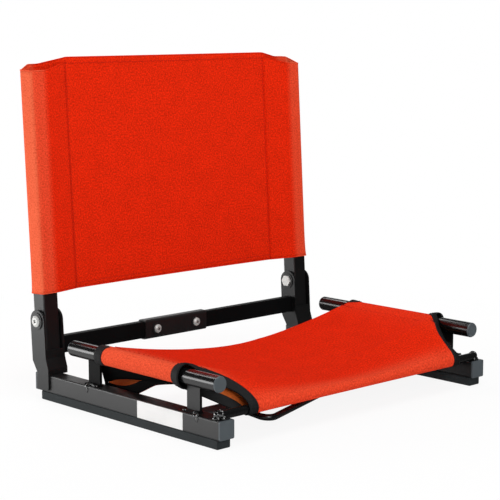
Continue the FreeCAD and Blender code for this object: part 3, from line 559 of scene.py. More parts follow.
# The lower sheet's loose edge below the sleeve: depth, heights of the opening's top and bottom and of the lower edge.
LOOSE_EDGE = ((-0.092, 0.0650, 0.0648, 0.0632), (-0.070, 0.0630, 0.0627, 0.0590), (-0.053, 0.0606, 0.0602, 0.0550),
              (-0.043, 0.0592, 0.0588, 0.0508), (-0.024, 0.0572, 0.0566, 0.0412), (-0.008, 0.0556, 0.0500, 0.0340),
              (0.013, 0.0526, 0.0427, 0.0290), (0.032, 0.0486, 0.0402, 0.0290), (0.051, 0.0418, 0.0408, 0.0330),
              (0.058, 0.0405, 0.0400, 0.0350))
# Its upper tape's start and its cloth's inner end, each in from the rod and up; and the edge in from the rod.
LOOSE_START, LOOSE_END, LOOSE_IN = (0.006, 0.0722), (0.0455, 0.0640), 0.0155
SEAT_PAINTED_SHEEN, HEM_PAINTED_SHEEN = (0.50, 0.08), 0.30  # painted sheen on the cloth at the left rod on the lit side and at the right rod, and a painted highlight along the hem
REAR_FOLD_TO, REAR_FOLD = 0.915, 0.0012  # where the fold of the rear edge ends, and how far it stands out


def sleeve_ends(size):
    """Depths of the sleeves' front and rear ends."""
    rear = SEAT_REAR - SLEEVE_INSET
    return rear - size.seat_sleeve, rear


def sleeve_radii(size, depths):
    """Half width and half height of a sleeve round its rod; the taped ends stand open, the front ones the more."""
    front, rear = sleeve_ends(size)
    tight = ROD_RADIUS + SLEEVE_GAP + size.thickness / 2
    fore = ease((front + FRONT_FLARE[0] - depths) / FRONT_FLARE[0])
    aft = ease((depths - rear + REAR_FLARE[0]) / REAR_FLARE[0])
    return tuple(tight + FRONT_FLARE[k] * fore + REAR_FLARE[k] * aft for k in (1, 2))


def seat_sections(size, depths, across=ACROSS):
    """Closed loops of the seat at the given depths: top, right wrap, under layer from right to left, left wrap.

    The top hangs as middle + (edge - middle) * |across| ** 1.7 and meets each sleeve's ellipse along its tangent.
    The wrap follows the ellipse. The lower layer is the top less a gap that falls from the ellipse's height to the
    two layers' own as exp(-(d / 12 mm) ** 1.5), d being the distance in from the rod's middle.
    """
    wide, tall = sleeve_radii(size, depths)
    share = (depths - sleeve_ends(size)[0]) / size.seat_sleeve
    middle = size.seat_front + (size.seat_rear - size.seat_front) * share
    slope = np.zeros_like(depths)
    for _ in range(8):
        edge_x, edge_z = ROD_X - wide * np.sin(slope), ROD_Z + tall * np.cos(slope)
        slope = np.arctan(SEAT_SAG * (edge_z - middle) / edge_x * wide / tall)
    depth, wide, tall, middle, edge_x, edge_z = (v[:, None] for v in (depths, wide, tall, middle, edge_x, edge_z))
    top = np.stack(np.broadcast_arrays(across * edge_x, depth,
                                       middle + (edge_z - middle) * np.abs(across) ** SEAT_SAG), -1)
    seam = np.exp(-((np.abs(top[..., 0]) - (ROD_X - SEAM_FROM_ROD)) / SEAM_WIDTH) ** 2)
    top[..., 2] -= SEAM_DEPTH * seam
    share_round = np.linspace(0, 1, WRAP_COLS)[1:-1]
    angle = (pi / 2 + slope)[:, None] * (1 - share_round) + (-pi / 2) * share_round
    right = np.stack(np.broadcast_arrays(ROD_X + wide * np.cos(angle), depth, ROD_Z + tall * np.sin(angle)), -1)
    x = across * ROD_X
    side = np.abs(x)[None]
    hang = middle + (edge_z - middle) * np.clip(side / edge_x, 0, 1) ** SEAT_SAG
    circle = ROD_Z + tall * np.sqrt(np.maximum(1 - ((side - ROD_X) / wide) ** 2, 0))
    height = np.where(side > edge_x, circle, hang)
    gap = SEAT_LAYERS + (2 * tall - SEAT_LAYERS) * np.exp(-(np.maximum(ROD_X - side, 0) / LAYERS_MEET) ** 1.5)
    under = np.stack(np.broadcast_arrays(x[None], depth, height - gap), -1)
    return top, right, under[:, ::-1], right[:, ::-1] * MIRROR


def seat_row(size, depth, across, part):
    """One part of the seat's section at a single depth."""
    return seat_sections(size, np.array([depth]), across)[part][0]


def slack(points):
    """Height of the slack folds: each is height * exp(-(along / length) ** 2 - (beside / width) ** 2), added up."""
    x, y, turn, length, width, height = FOLDS.T
    turn = np.radians(turn)
    dx, dy = points[..., :1] - x, points[..., 1:2] - y
    along, beside = dx * np.cos(turn) + dy * np.sin(turn), dy * np.cos(turn) - dx * np.sin(turn)
    return (height * np.exp(-(along / length) ** 2 - (beside / width) ** 2)).sum(-1)


def sided(across):
    """Signs that carry points of the right half to their own side of the middle."""
    return np.stack([np.sign(across), np.ones_like(across), np.ones_like(across)], -1)


def through_keys(keys, places, across):
    """Rows of a surface through key points: cubics whose slopes come from the neighbouring keys.

    The keys stand at the given places of |across|, are shaped rows x keys x 3, and the rows are mirrored about
    the chair's middle.
    """
    side = np.abs(across)
    places = np.asarray(places)
    slopes = np.empty_like(keys)
    slopes[:, 1:-1] = (keys[:, 2:] - keys[:, :-2]) / (places[2:] - places[:-2])[None, :, None]
    slopes[:, 0] = (keys[:, 1] - keys[:, 0]) / (places[1] - places[0]) * (1, 0, 0)
    slopes[:, -1] = (keys[:, -1] - keys[:, -2]) / (places[-1] - places[-2])
    i = np.clip(np.searchsorted(places, side, side="right") - 1, 0, len(places) - 2)
    step = (places[i + 1] - places[i])[None, :, None]
    t = ((side - places[i]) / (places[i + 1] - places[i]))[None, :, None]
    rows = ((2 * t ** 3 - 3 * t ** 2 + 1) * keys[:, i] + (t ** 3 - 2 * t ** 2 + t) * step * slopes[:, i]
            + (3 * t ** 2 - 2 * t ** 3) * keys[:, i + 1] + (t ** 3 - t ** 2) * step * slopes[:, i + 1])
    return rows * sided(across)


def apron_top(size, across=ACROSS):
    """The upper cloth in front of the sleeves, down to the hem and round the crossbar.

    Rows run from the middle, over a soft ridge one tape's width inside the cut edge, to the cut edge itself.
    The middle falls straight to the crossbar and follows an arc round it; its cut edge follows the corner's points.
    Between them a row is middle + (ridge - middle) * part ** power, with a power of its own across, along and up.
    """
    front = sleeve_ends(size)[0]
    row = seat_row(size, front, across, TOP)
    begin = seat_row(size, front, np.array([TAPE_AT_SLEEVE, 1.0]), TOP)
    lines = []
    for first, corner, hem in zip(begin, (CORNER_RIDGE, CORNER_CUT), (HEM_RIDGE, HEM_CUT)):
        corner = corner + (0, front, 0)
        line = smooth_path(np.vstack([first, corner, hem + (0, BAR_Y, BAR_Z)]), 600)
        split = int(np.argmin(np.linalg.norm(line - corner[-1], axis=1)))
        lines.append(np.vstack([evenly(line[:split + 1], CORNER_ROWS), evenly(line[split:], HEM_ROWS)[1:]]))
    ridge, cut = lines
    turn = np.radians(np.linspace(*HEM_ARC, HEM_ROWS))
    arc = np.stack([np.zeros(HEM_ROWS), BAR_Y - size.hem_radius * np.sin(turn),
                    BAR_Z + size.hem_radius * np.cos(turn)], -1)
    middle = np.vstack([np.linspace((0, front, size.seat_front), arc[0], CORNER_ROWS), arc[1:]])
    share = np.concatenate([np.linspace(0, 1, CORNER_ROWS), np.linspace(1, 2, HEM_ROWS)[1:]])[:, None]
    power = np.hstack([np.ones_like(share), np.full_like(share, 2.5), SEAT_SAG + 0.5 * np.clip(share, 0, 1)])
    between = [middle + (ridge - middle) * part ** power for part in KEY_PARTS]
    rows = through_keys(np.stack([middle, *between, ridge, cut], 1), KEY_PLACES, across)
    inside = np.abs(across) <= 1
    rows[:, inside] += ((row - rows[0]) * (1 - ease(share / BLEND))[:, :, None])[:, inside]
    pucker = np.exp(-((share - 1.45) / 0.35) ** 2) * ease((TAPE_FROM - np.abs(across)) / 0.05)
    rows[..., 1] += PUCKER_DEPTH * pucker * np.sin(across * 2 * pi * PUCKERS)
    return rows


def apron_under(size, across=ACROSS):
    """The lower cloth in front of the sleeves, from the sleeves' ends to under the crossbar.

    It follows the upper cloth one gap lower. Near each cut edge it turns down to a straight line from the rod's
    underside to the hem's end: the drop fades inwards as exp(-(distance / width) ** 1.3).
    """
    front = sleeve_ends(size)[0]
    whole = apron_top(size, across)
    top, last = whole[:CORNER_ROWS], whole[-1]
    side, sign = np.abs(across)[None], sided(across)
    share = np.linspace(0, 1, CORNER_ROWS)[:, None]
    tear = seat_row(size, front, across, UNDER)[::-1]
    start = seat_row(size, front, np.array([1.0]), UNDER)[0]
    cut = start + (HEM_CUT[-1] + (0, BAR_Y, BAR_Z) - start) * share
    at_sleeve, half_way, at_hem = EDGE_WAYS
    turn = ease(np.where(share < 0.5, share * 2, 2 - share * 2))
    inward = unit(np.where(share < 0.5, at_sleeve, at_hem) * (1 - turn) + np.array(half_way) * turn)
    fold = cut + inward * size.tape_width
    ridge = apron_top(size, np.array([TAPE_FROM]))[:CORNER_ROWS, 0]
    near = np.exp(-(np.maximum(TAPE_FROM - side, 0) / 0.10) ** 1.3)[..., None]
    inner = top + ((fold - ridge)[:, None] * near) * sign - np.array((0, 0, SEAT_LAYERS)) * (1 - near)
    part = ((side - TAPE_FROM) / (1 - TAPE_FROM))[..., None]
    outer = (fold[:, None] + (cut - fold)[:, None] * part) * sign
    rows = np.where(part > 0, outer, inner)
    rows = rows + (tear - rows[0]) * (1 - ease(share / BLEND))[..., None]
    return rows + (last - rows[-1]) * ease((share - 1 + BLEND) / BLEND)[..., None]


def loose_edge():
    """The loose edge on the right side: its upper tape, its lower tape, and the cloth that rises inward from the lower
    edge; each a ruled sheet between curves through the listed heights.
    """
    depth, top, bottom, low = smooth_path(LOOSE_EDGE, 49).T
    inside = ROD_X - LOOSE_IN
    foot = (inside - 0.0006, low)

    def ruled(first, second, count):
        a, b = (np.stack(np.broadcast_arrays(x, depth, z), -1) for x, z in (first, second))
        return a[:, None] + (b - a)[:, None] * np.linspace(0, 1, count)[:, None]
    upper = ruled((ROD_X - LOOSE_START[0], LOOSE_START[1]), (inside, top), 7)
    lower = ruled((inside, bottom), foot, 7)
    rise = ruled(foot, (ROD_X - LOOSE_END[0], LOOSE_END[1]), 13)
    rise[..., 2] -= 0.004 * np.sin(np.linspace(0, pi, 13)) * ((LOOSE_END[1] - low) / 0.035)[:, None]
    return upper, lower, rise


def painted_rod_sheen(grid, from_rod, reach):
    """Painted sheen on the seat's cloth near a rod, stronger at the left rod on the lit side: sheen * exp(-(distance /
    reach) ** 2).
    """
    return np.where(grid[..., 0] < 0, *SEAT_PAINTED_SHEEN) * np.exp(-(from_rod / reach) ** 2)


class CHAIR_OT_seat_cloth(bpy.types.Operator):
    """Makes the seat: doubled cloth round both rods and the front crossbar, sewn beside the rods."""
    bl_idname = "chair.seat_cloth"
    bl_label = "Seat Cloth"

    def execute(self, context):
        size = context.scene.chair_cloth
        front, rear = sleeve_ends(size)
        top, right, under, left = seat_sections(size, np.linspace(front, rear, SLEEVE_ROWS))
        loop = np.concatenate([top, right, under, left, top[:, :1]], 1)
        upper, lower = apron_top(size), apron_under(size)
        loop[:, :len(ACROSS), 2] += slack(top)
        upper[..., 2] += slack(upper)
        inner = np.abs(ACROSS) < REAR_FOLD_TO
        high, low = loop[-1, :len(ACROSS)][inner], under[-1, ::-1][inner]
        turn = np.linspace(pi / 2, -pi / 2, 9)[:, None]
        fold = (high + low) / 2 + (high - low) / 2 * np.sin(turn)[..., None]
        fold[..., 1] += REAR_FOLD * np.cos(turn)
        # painted sheen beside the rods, and a painted highlight along the hem where the apron curves under the crossbar
        beside = np.abs(np.abs(loop[..., 0]) - ROD_X)
        ahead = np.hypot(np.abs(upper[..., 0]) - ROD_X, (upper[..., 1] - front) * 0.6)
        hem = np.exp(-(np.linalg.norm(upper[..., 1:] - (BAR_Y, BAR_Z + 0.004), axis=-1) / 0.016) ** 2)
        sheets = [(loop, surface_uv(loop), painted_rod_sheen(loop, beside, 0.035)),
                  (upper, surface_uv(upper), painted_rod_sheen(upper, ahead, 0.040) + HEM_PAINTED_SHEEN * hem)]
        sheets += [(grid, surface_uv(grid)) for grid in (lower, fold)]
        piece = add_piece("seat_cloth", sheets, finish("red_cloth"))
        rise = loose_edge()[2]
        sheets = [(grid, surface_uv(grid)) for grid in (rise, rise[:, ::-1] * MIRROR)]
        loose = add_piece("seat_loose_edges", sheets, finish("red_cloth"), recalc=False)
        for made in (piece, loose):
            # the inner side takes the cloth's colour with its painted glow of light through the cloth
            made.data.materials.append(finish("cloth_inside"))
            thicken(made, size.thickness).material_offset = 1
            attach(made, "base_frame")
        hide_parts("seat_sling")
        return {"FINISHED"}


# ---------------------------------------------------------------- the seat's tape

TAPE_TO, LOWER_TAPE = 1.004, (TAPE_FROM + 0.010, 1.006)  # outer edge of the upper tape, and both edges of the lower
TAPE_COLS = 41
TAPE_WALL, TAPE_OVER = 0.0012, 0.0008  # thicker than the cloth, and past the sleeves' ends


class CHAIR_OT_seat_tapes(bpy.types.Operator):
    """Makes the seat's binding tapes: strips of the seat's own surface, thick enough to fold over its cut edges."""
    bl_idname = "chair.seat_tapes"
    bl_label = "Seat Tapes"

    def execute(self, context):
        size = context.scene.chair_cloth
        front, rear = sleeve_ends(size)
        whole = apron_top(size, np.linspace(TAPE_FROM, TAPE_TO, TAPE_COLS))
        begin = TAPE_AT_SLEEVE + (TAPE_FROM - TAPE_AT_SLEEVE) * ease(np.linspace(0, 1, len(whole)) / 0.2)
        want = begin[:, None] + (TAPE_TO - begin)[:, None] * np.linspace(0, 1, 9)
        want = (want - TAPE_FROM) / (TAPE_TO - TAPE_FROM) * (TAPE_COLS - 1)
        low = np.minimum(want.astype(int), TAPE_COLS - 2)
        rows = np.arange(len(whole))[:, None]
        upper = whole[rows, low] + (whole[rows, low + 1] - whole[rows, low]) * (want - low)[..., None]
        grids = [upper, apron_under(size, np.linspace(*LOWER_TAPE, 11))]
        for first, last in ((front - TAPE_OVER, front + size.tape_width), (rear + TAPE_OVER, rear - size.tape_width)):
            depths = np.linspace(first, last, 9)
            top, right, under, _ = seat_sections(size, depths, np.linspace(0.975, 1, 6))
            grids.append(np.concatenate([top[:, -1:], right, under], 1))
            starts = 0.9995 - 0.0375 * np.linspace(1, 0, 9)
            grids.append(np.stack([seat_row(size, depth, np.linspace(start, 1, 6), TOP)
                                   for depth, start in zip(depths, starts)]))
        # the loose edges' tapes carry the painted shade
        for name, group, look in (("seat_tapes", grids, "black_tape"),
                                  ("loose_edge_tapes", loose_edge()[:2], "dark_tape")):
            strips = [sheet for grid in group for sheet in both_sides(grid)]
            piece = add_piece(name, strips, finish(look), recalc=False)
            thicken(piece, size.thickness + TAPE_WALL)
            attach(piece, "base_frame")
        return {"FINISHED"}


# ---------------------------------------------------------------- the back's cloth

BACK_SHELL = UPRIGHT_HALF + 0.0009  # from an upright's middle to the cloth round it
BACK_FLAP = 0.0024  # how far the sleeve's front end stands beside its seam
BACK_BEND = 0.003
# How far the top edge lies below the panel's: at the front seam, the sleeve's two front corners, its outer rear
# corner, a point of its rear face, its inner rear corner and the rear seam.
LEFT_DROPS = (-0.0075, -0.0182, -0.0188, -0.0159, -0.0088, -0.0086, 0.0)
RIGHT_DROPS = (-0.0075, -0.0182, -0.0188, -0.0075, -0.0068, -0.0066, 0.0)
FLARE, FLARE_HEIGHT = (0.0012, 0.0010), 0.012  # how far the sleeves' lower ends stand open sideways and to the front
SLEEVE_PAINTED_SHEEN, EDGE_PAINTED_SHEEN = 0.30, 0.45  # painted sheen on the cloth round an upright, and a stronger painted highlight on its outer side


def lean_back(x, depth, height):
    """Points of the back, given across, to the rear and up along the lean from the pivot."""
    return np.stack(np.broadcast_arrays(x, PIVOT[1] + depth * cos(LEAN) + height * sin(LEAN),
                                        PIVOT[2] + height * cos(LEAN) - depth * sin(LEAN)), -1)


def bowed(size, x):
    """How far the panel hangs to the rear: bow * (1 - (x / seam) ** 2)."""
    return size.back_bow * (1 - (x / size.back_seam) ** 2)


def rounded(points, radius, steps=5):
    """A path whose inner corners are rounded by quadratic curves."""
    p = np.asarray(points, float)
    before, after = unit(p[:-2] - p[1:-1]), unit(p[2:] - p[1:-1])
    t = np.linspace(0, 1, steps)[:, None, None]
    bends = (1 - t) ** 2 * (p[1:-1] + before * radius) + 2 * t * (1 - t) * p[1:-1] + t ** 2 * (p[1:-1] + after * radius)
    return np.vstack([p[:1], bends.transpose(1, 0, 2).reshape(-1, 2), p[-1:]])


def back_plan(size):
    """The back's cloth seen from above: from the left front seam round the upright, over the panel, and mirrored."""
    outer, inner = UPRIGHT_X + BACK_SHELL, UPRIGHT_X - BACK_SHELL
    side = rounded([(-size.back_seam + BACK_FLAP, -0.0009), (-inner, -BACK_SHELL), (-outer, -BACK_SHELL),
                    (-outer, BACK_SHELL), (-inner, BACK_SHELL), (-size.back_seam, 0.0)], BACK_BEND)
    side = np.vstack([evenly(side[:7], 14)] + [evenly(side[k:k + 6], 12)[1:] for k in (6, 11, 16)])
    x = np.linspace(-size.back_seam, size.back_seam, 101)[1:-1]
    return np.vstack([side, np.stack([x, bowed(size, x)], -1), side[::-1] * (-1, 1)])


def back_tops(size, plan):
    """Height of the top edge along the plan: the sleeves' front faces lie lower than their rears and the panel."""
    along = lengths(plan)
    slant = np.hypot(UPRIGHT_X - BACK_SHELL - size.back_seam + BACK_FLAP, BACK_SHELL)
    marks = np.cumsum([0, slant, *(np.array((2, 2, 0.8, 1.2)) * BACK_SHELL), slant])
    left = np.interp(along, marks, LEFT_DROPS, right=0.0)
    right = np.interp(along[-1] - along, marks, RIGHT_DROPS, right=0.0)
    return size.back_top + np.minimum(left, right)


def back_surface(size):
    """The back's cloth as a grid of rows up and columns along its plan, and that plan."""
    plan = back_plan(size)
    tops = back_tops(size, plan)
    rise = np.linspace(0, 1, 72)[:, None]
    height = size.back_bottom + (tops - size.back_bottom) * rise
    x, depth = (np.broadcast_to(plan[:, k], height.shape) for k in (0, 1))
    flare = np.exp(-(height - size.back_bottom) / FLARE_HEIGHT) * ease((np.abs(x) - size.back_seam) / 0.03)
    x = x + np.sign(x) * FLARE[0] * flare
    depth = depth - FLARE[1] * flare * (depth < 0)
    return lean_back(x, depth, height), plan


class CHAIR_OT_back_cloth(bpy.types.Operator):
    """Makes the back: one cloth with a sleeve on each upright, folded round it and sewn to the panel's face."""
    bl_idname = "chair.back_cloth"
    bl_label = "Back Cloth"

    def execute(self, context):
        size = context.scene.chair_cloth
        points, plan = back_surface(size)
        # painted sheen round each upright, and a stronger painted highlight on its outer side
        beyond = np.abs(plan[:, 0]) - (UPRIGHT_X - UPRIGHT_HALF)
        worn = SLEEVE_PAINTED_SHEEN * ease(beyond / 0.006) + EDGE_PAINTED_SHEEN * ease((beyond - 2 * UPRIGHT_HALF + 0.003) / 0.003)
        piece = add_piece("back_cloth", [(points, surface_uv(points), np.broadcast_to(worn, points.shape[:2]))],
                          finish("red_cloth"), recalc=False)
        thicken(piece, size.thickness)
        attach(piece, "backrest")
        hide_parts("back_sling")
        return {"FINISHED"}


class CHAIR_OT_back_hems(bpy.types.Operator):
    """Makes the rolled hems of the back: a thin round edge carried along the cloth's top and bottom."""
    bl_idname = "chair.back_hems"
    bl_label = "Back Hems"

    def execute(self, context):
        points, _ = back_surface(context.scene.chair_cloth)
        sheets = []
        for edge, radius in ((points[-1], 0.0010), (points[0], 0.0009)):
            way = tangents(edge)
            up = np.broadcast_to((0.0, sin(LEAN), cos(LEAN)), way.shape)
            sheet = capped(swept(edge, unit(np.cross(way, up)), up, ring_profile(radius, 8)))
            # painted sheen on the hems, from the uprights' inner faces outwards
            beyond = np.abs(sheet[0][..., 0]) - UPRIGHT_X + UPRIGHT_HALF
            sheets.append((*sheet, 0.5 * ease(beyond / 0.006)))
        piece = add_piece("back_hems", sheets, finish("red_cloth"))
        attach(piece, "backrest")
        return {"FINISHED"}


# ---------------------------------------------------------------- thread, welds and small parts

STITCH_RADIUS = 0.00042
CLOTH_SINK, TAPE_SINK = 0.45, 0.3  # share of its radius that a stitch sinks into cloth and tape
BACK_SEWN = 90  # points along each line of the back's stitches
# Weld beads: centre from the left rail's middle line, front end of the rail and floor; half lengths along x, y, z.
WELDS = np.array([(-0.0057, 0.0500, 0.0392, 0.0036, 0.0036, 0.0026), (-0.0095, 0.0465, 0.0386, 0.0034, 0.0042, 0.0024),
                  (-0.0124, 0.0420, 0.0356, 0.0014, 0.0026, 0.0044), (-0.0116, 0.0445, 0.0376, 0.0028, 0.0032, 0.0024),
                  (0.0040, 0.0620, 0.0388, 0.0028, 0.0120, 0.0022), (-0.0020, 0.0765, 0.0388, 0.0036, 0.0030, 0.0022),
                  (-0.0112, 0.2735, 0.0372, 0.0026, 0.0046, 0.0028), (-0.0124, 0.2727, 0.0335, 0.0014, 0.0022, 0.0040),
                  (-0.0050, 0.2720, 0.0388, 0.0036, 0.0110, 0.0022), (0.0040, 0.2720, 0.0388, 0.0030, 0.0110, 0.0020),
                  (-0.0035, 0.0125, 0.0442, 0.0046, 0.0046, 0.0042), (-0.0012, 0.0085, 0.0446, 0.0042, 0.0054, 0.0052),
                  (0.0015, 0.0022, 0.0402, 0.0048, 0.0030, 0.0030), (0.0020, 0.0160, 0.0402, 0.0048, 0.0032, 0.0030),
                  (-0.0062, 0.0110, 0.0396, 0.0038, 0.0050, 0.0026), (0.0082, 0.0145, 0.0396, 0.0036, 0.0036, 0.0026)])
WELD_SIZE, WELD_TURN = 1.25, 1.3
PLATE_FROM, PLATE_TO = (0.0002, -0.126, 0.0008), (-0.0004, -0.033, -0.0010)  # from the left rail's outer face
PLATE_BEVEL = 0.00025
CROSS_TURN, CROSS_ARM, CROSS_DEPTH = 0.4, 0.28, 0.00015
PIVOT_CROSS, SPLICE_CROSS = 0.0030, 0.0026  # half lengths of the crosses' arms


def stitched(size, path, outward, sink=CLOTH_SINK):
    """Stitches along a path: six-sided beads of one stitch's length, sunk into the cloth by part of their radius."""
    count = max(2, int(lengths(path)[-1] / size.stitch_pitch))
    place = evenly(np.hstack([path, outward]), count)
    path, outward = place[:, :3], unit(place[:, 3:])
    way = tangents(path)
    side = unit(np.cross(way, outward))
    along = np.array([-0.5, -0.32, 0.32, 0.5]) * size.stitch
    thick = np.array([0.35, 1.0, 1.0, 0.35])[:, None] * STITCH_RADIUS
    ring = ring_profile(1.0, 6)
    ring = np.vstack([ring, ring[:1]])
    middle = path + outward * STITCH_RADIUS * (1 - sink)
    middle, way, side, out = (v[:, None, None] for v in (middle, way, side, outward))
    body = (middle + way * along[:, None, None] + side * (thick * ring[:, 0])[..., None]
            + out * (thick * ring[:, 1])[..., None])
    quads = (np.arange(count)[:, None, None] * 28 + grid_quads(4, 7)[None]).reshape(-1, 4)
    uv = np.broadcast_to(np.stack(np.meshgrid(ring[:, 0] * STITCH_RADIUS, along), -1), body.shape[:3] + (2,))
    return body.reshape(-1, 3), uv.reshape(-1, 2), quads


def stitched_pair(size, path, outward, sink=CLOTH_SINK):
    """A row of stitches on the left and the same on the right."""
    return [stitched(size, path * (s, 1, 1), outward * (s, 1, 1), sink) for s in (-1, 1)]


def add_stitches(name, rows, material):
    """One piece from several rows of stitches."""
    starts = np.cumsum([0] + [len(row[0]) for row in rows[:-1]])
    points, uvs = (np.concatenate([row[k] for row in rows]) for k in (0, 1))
    quads = np.concatenate([row[2] + start for row, start in zip(rows, starts)])
    piece = add_mesh(name, points, uvs, quads, material, merge=1e-7)
    return piece


class CHAIR_OT_stitches(bpy.types.Operator):
    """Sews the seams: beside the seat's rods, along its tapes, and along the back's seams and hems."""
    bl_idname = "chair.stitches"
    bl_label = "Stitches"

    def execute(self, context):
        size = context.scene.chair_cloth
        front, rear = sleeve_ends(size)
        half = size.thickness / 2
        on_tape = half + TAPE_WALL / 2
        top = seat_sections(size, np.linspace(front + 0.016, rear - 0.001, 40), np.linspace(0.9, 0.93, 7))[TOP]
        up = face_normals(top)[:, 3]
        up = up * np.sign(up[:, 2:])
        rows = stitched_pair(size, top[:, 3] + up * half, up)
        piece = add_stitches("seat_seam_thread", rows, finish("red_thread"))
        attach(piece, "base_frame")
        edge = apron_top(size, np.linspace(TAPE_FROM, 0.95, 5))[4:64]
        up = face_normals(edge)[:, 2]
        up = up * np.sign((up * (0.0, -0.6, 0.8)).sum(-1, keepdims=True))
        rows = stitched_pair(size, edge[:, 2] + up * on_tape, up, TAPE_SINK)
        for depth in (front + size.tape_width - 0.002, rear - size.tape_width + 0.002):
            wrap = seat_row(size, depth, ACROSS, RIGHT)
            out = unit((wrap - (ROD_X, depth, ROD_Z)) * (1, 0, 1))
            rows += stitched_pair(size, wrap + out * on_tape, out, TAPE_SINK)
        piece = add_stitches("tape_thread", rows, finish("black_thread"))
        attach(piece, "base_frame")
        out = np.broadcast_to((0.0, -cos(LEAN), sin(LEAN)), (BACK_SEWN, 3))
        x = np.linspace(-size.back_seam + 0.002, size.back_seam - 0.002, BACK_SEWN)
        rows = [stitched(size, lean_back(x, bowed(size, x) - half, np.full_like(x, height)), out)
                for height in (size.back_top - 0.0085, size.back_bottom + 0.0075)]
        height = np.linspace(size.back_bottom + 0.004, size.back_top - 0.004, BACK_SEWN)
        beside = np.full_like(height, size.back_seam - 0.0042)
        rows += stitched_pair(size, lean_back(beside, bowed(size, beside) - half, height), out)
        piece = add_stitches("back_thread", rows, finish("red_thread"))
        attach(piece, "backrest")
        return {"FINISHED"}


class CHAIR_OT_welds(bpy.types.Operator):
    """Makes the weld beads at the feet of the posts and the ends of the front crossbar: lumpy flattened balls."""
    bl_idname = "chair.welds"
    bl_label = "Weld Beads"

    def execute(self, context):
        start = ((RAIL_LOW[0] + RAIL_HIGH[0]) / 2, RAIL_LOW[1], 0)
        a, b = np.meshgrid(np.linspace(0, pi, 9), np.linspace(0, 2 * pi, 15), indexing="ij")
        lump = 1 + 0.10 * np.sin(3 * b + 1.0) * np.sin(a) + 0.08 * np.sin(2 * a + 5 * b)
        ball = np.stack([np.sin(a) * np.cos(b), np.sin(a) * np.sin(b), np.cos(a)], -1) * lump[..., None]
        ball[:, -1] = ball[:, 0]
        sheets = []
        for number, weld in enumerate(WELDS):
            turn = number * WELD_TURN
            spin = ball @ np.array([(cos(turn), -sin(turn), 0), (sin(turn), cos(turn), 0), (0, 0, 1)])
            sheets += both_sides(spin * weld[3:] * WELD_SIZE + weld[:3] + start)
        piece = add_piece("weld_beads", sheets, finish("weld_enamel"))
        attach(piece, "base_frame")
        return {"FINISHED"}


def slab(low, high):
    """A block whose outer edges are cut off by a small bevel, as one closed sheet of rings from face to face."""
    low, high = np.asarray(low), np.asarray(high)
    span = high[1:] - low[1:]
    square = np.array([(0, 0), (1, 0), (1, 1), (0, 1), (0, 0)], float)
    rings = []
    for depth, inset in ((0.0, 0.5), (0.0, 0.0), (0.6, 0.0), (1.0, PLATE_BEVEL), (1.0, 0.5)):
        edge = np.minimum(inset, span / 2)
        place = low[1:] + edge + square * (span - 2 * edge)
        rings.append(np.column_stack([np.full(5, low[0] + (high[0] - low[0]) * depth), place]))
    grid = np.stack(rings)
    return grid, surface_uv(grid)


class CHAIR_OT_name_plate(bpy.types.Operator):
    """Makes the bare plate on the left rail's outer face: a thin block."""
    bl_idname = "chair.name_plate"
    bl_label = "Bare Plate"

    def execute(self, context):
        face, middle = RAIL_LOW[0], (RAIL_LOW[1] + RAIL_HIGH[1]) / 2
        sheet = slab(np.add((face, middle, RAIL_LOW[2]), PLATE_FROM), np.add((face, middle, RAIL_HIGH[2]), PLATE_TO))
        piece = add_piece("bare_plate", [sheet], finish("bare_plate"))
        faces = piece.data.polygons
        faces.foreach_set("use_smooth", np.zeros(len(faces), dtype=bool))
        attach(piece, "base_frame")
        return {"FINISHED"}


class CHAIR_OT_drive_recesses(bpy.types.Operator):
    """Makes the cross recesses of the pivot and splice bolts: thin dark crosses let into the heads' crowns."""
    bl_idname = "chair.drive_recesses"
    bl_label = "Drive Recesses"

    def execute(self, context):
        low, high = corners("pivot_bolts")
        heads = [((x, *PIVOT[1:]), (s, 0, 0), (0, 1, 0), PIVOT_CROSS) for x, s in ((low[0], -1), (high[0], 1))]
        low, high = corners("splice_bolts")
        middle, half = (low[2] + high[2]) / 2, (high[2] - low[2]) / 2
        heads += [((x, low[1], middle), (0, -1, 0), (1, 0, 0), SPLICE_CROSS) for x in (low[0] + half, high[0] - half)]
        ring = np.array([(-1, -CROSS_ARM), (1, -CROSS_ARM), (1, CROSS_ARM), (-1, CROSS_ARM), (-1, -CROSS_ARM)])
        bar = np.stack([np.column_stack([ring * width, np.full(5, level)])
                        for width, level in ((1, -1), (1, 1), (0, 1))])
        up = np.array((0, 0, 1))
        sheets = []
        for place, out, side, reach in heads:
            out, side = np.array(out), np.array(side)
            for turn in (CROSS_TURN, CROSS_TURN + pi / 2):
                a, b = side * cos(turn) + up * sin(turn), up * cos(turn) - side * sin(turn)
                grid = np.array(place) + (bar[..., :1] * a + bar[..., 1:2] * b) * reach
                grid = grid + bar[..., 2:] * out * CROSS_DEPTH
                sheets.append((grid, surface_uv(grid)))
        piece = add_piece("drive_recesses", sheets, finish("recess_shade"))
        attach(piece, "base_frame")
        return {"FINISHED"}


# ---------------------------------------------------------------- stage

FLOOR_REACH = 6.0
FLOOR_FADE = (0.35, 0.9, 0.9, 1.0)  # distances between which the shadow fades, and how white the camera sees it there
# What reflections see of the floor and the backdrop: direction, where light begins and is full, and its least level.
FLOOR_LIGHT, BACKDROP_LIGHT = ((-1.0, 0.0, 0.0), 0.18, 0.36, 0.03), ((0.69, 0.72, 0.0), 0.88, 0.97, 0.05)
WORLD_LEVEL = 0.35
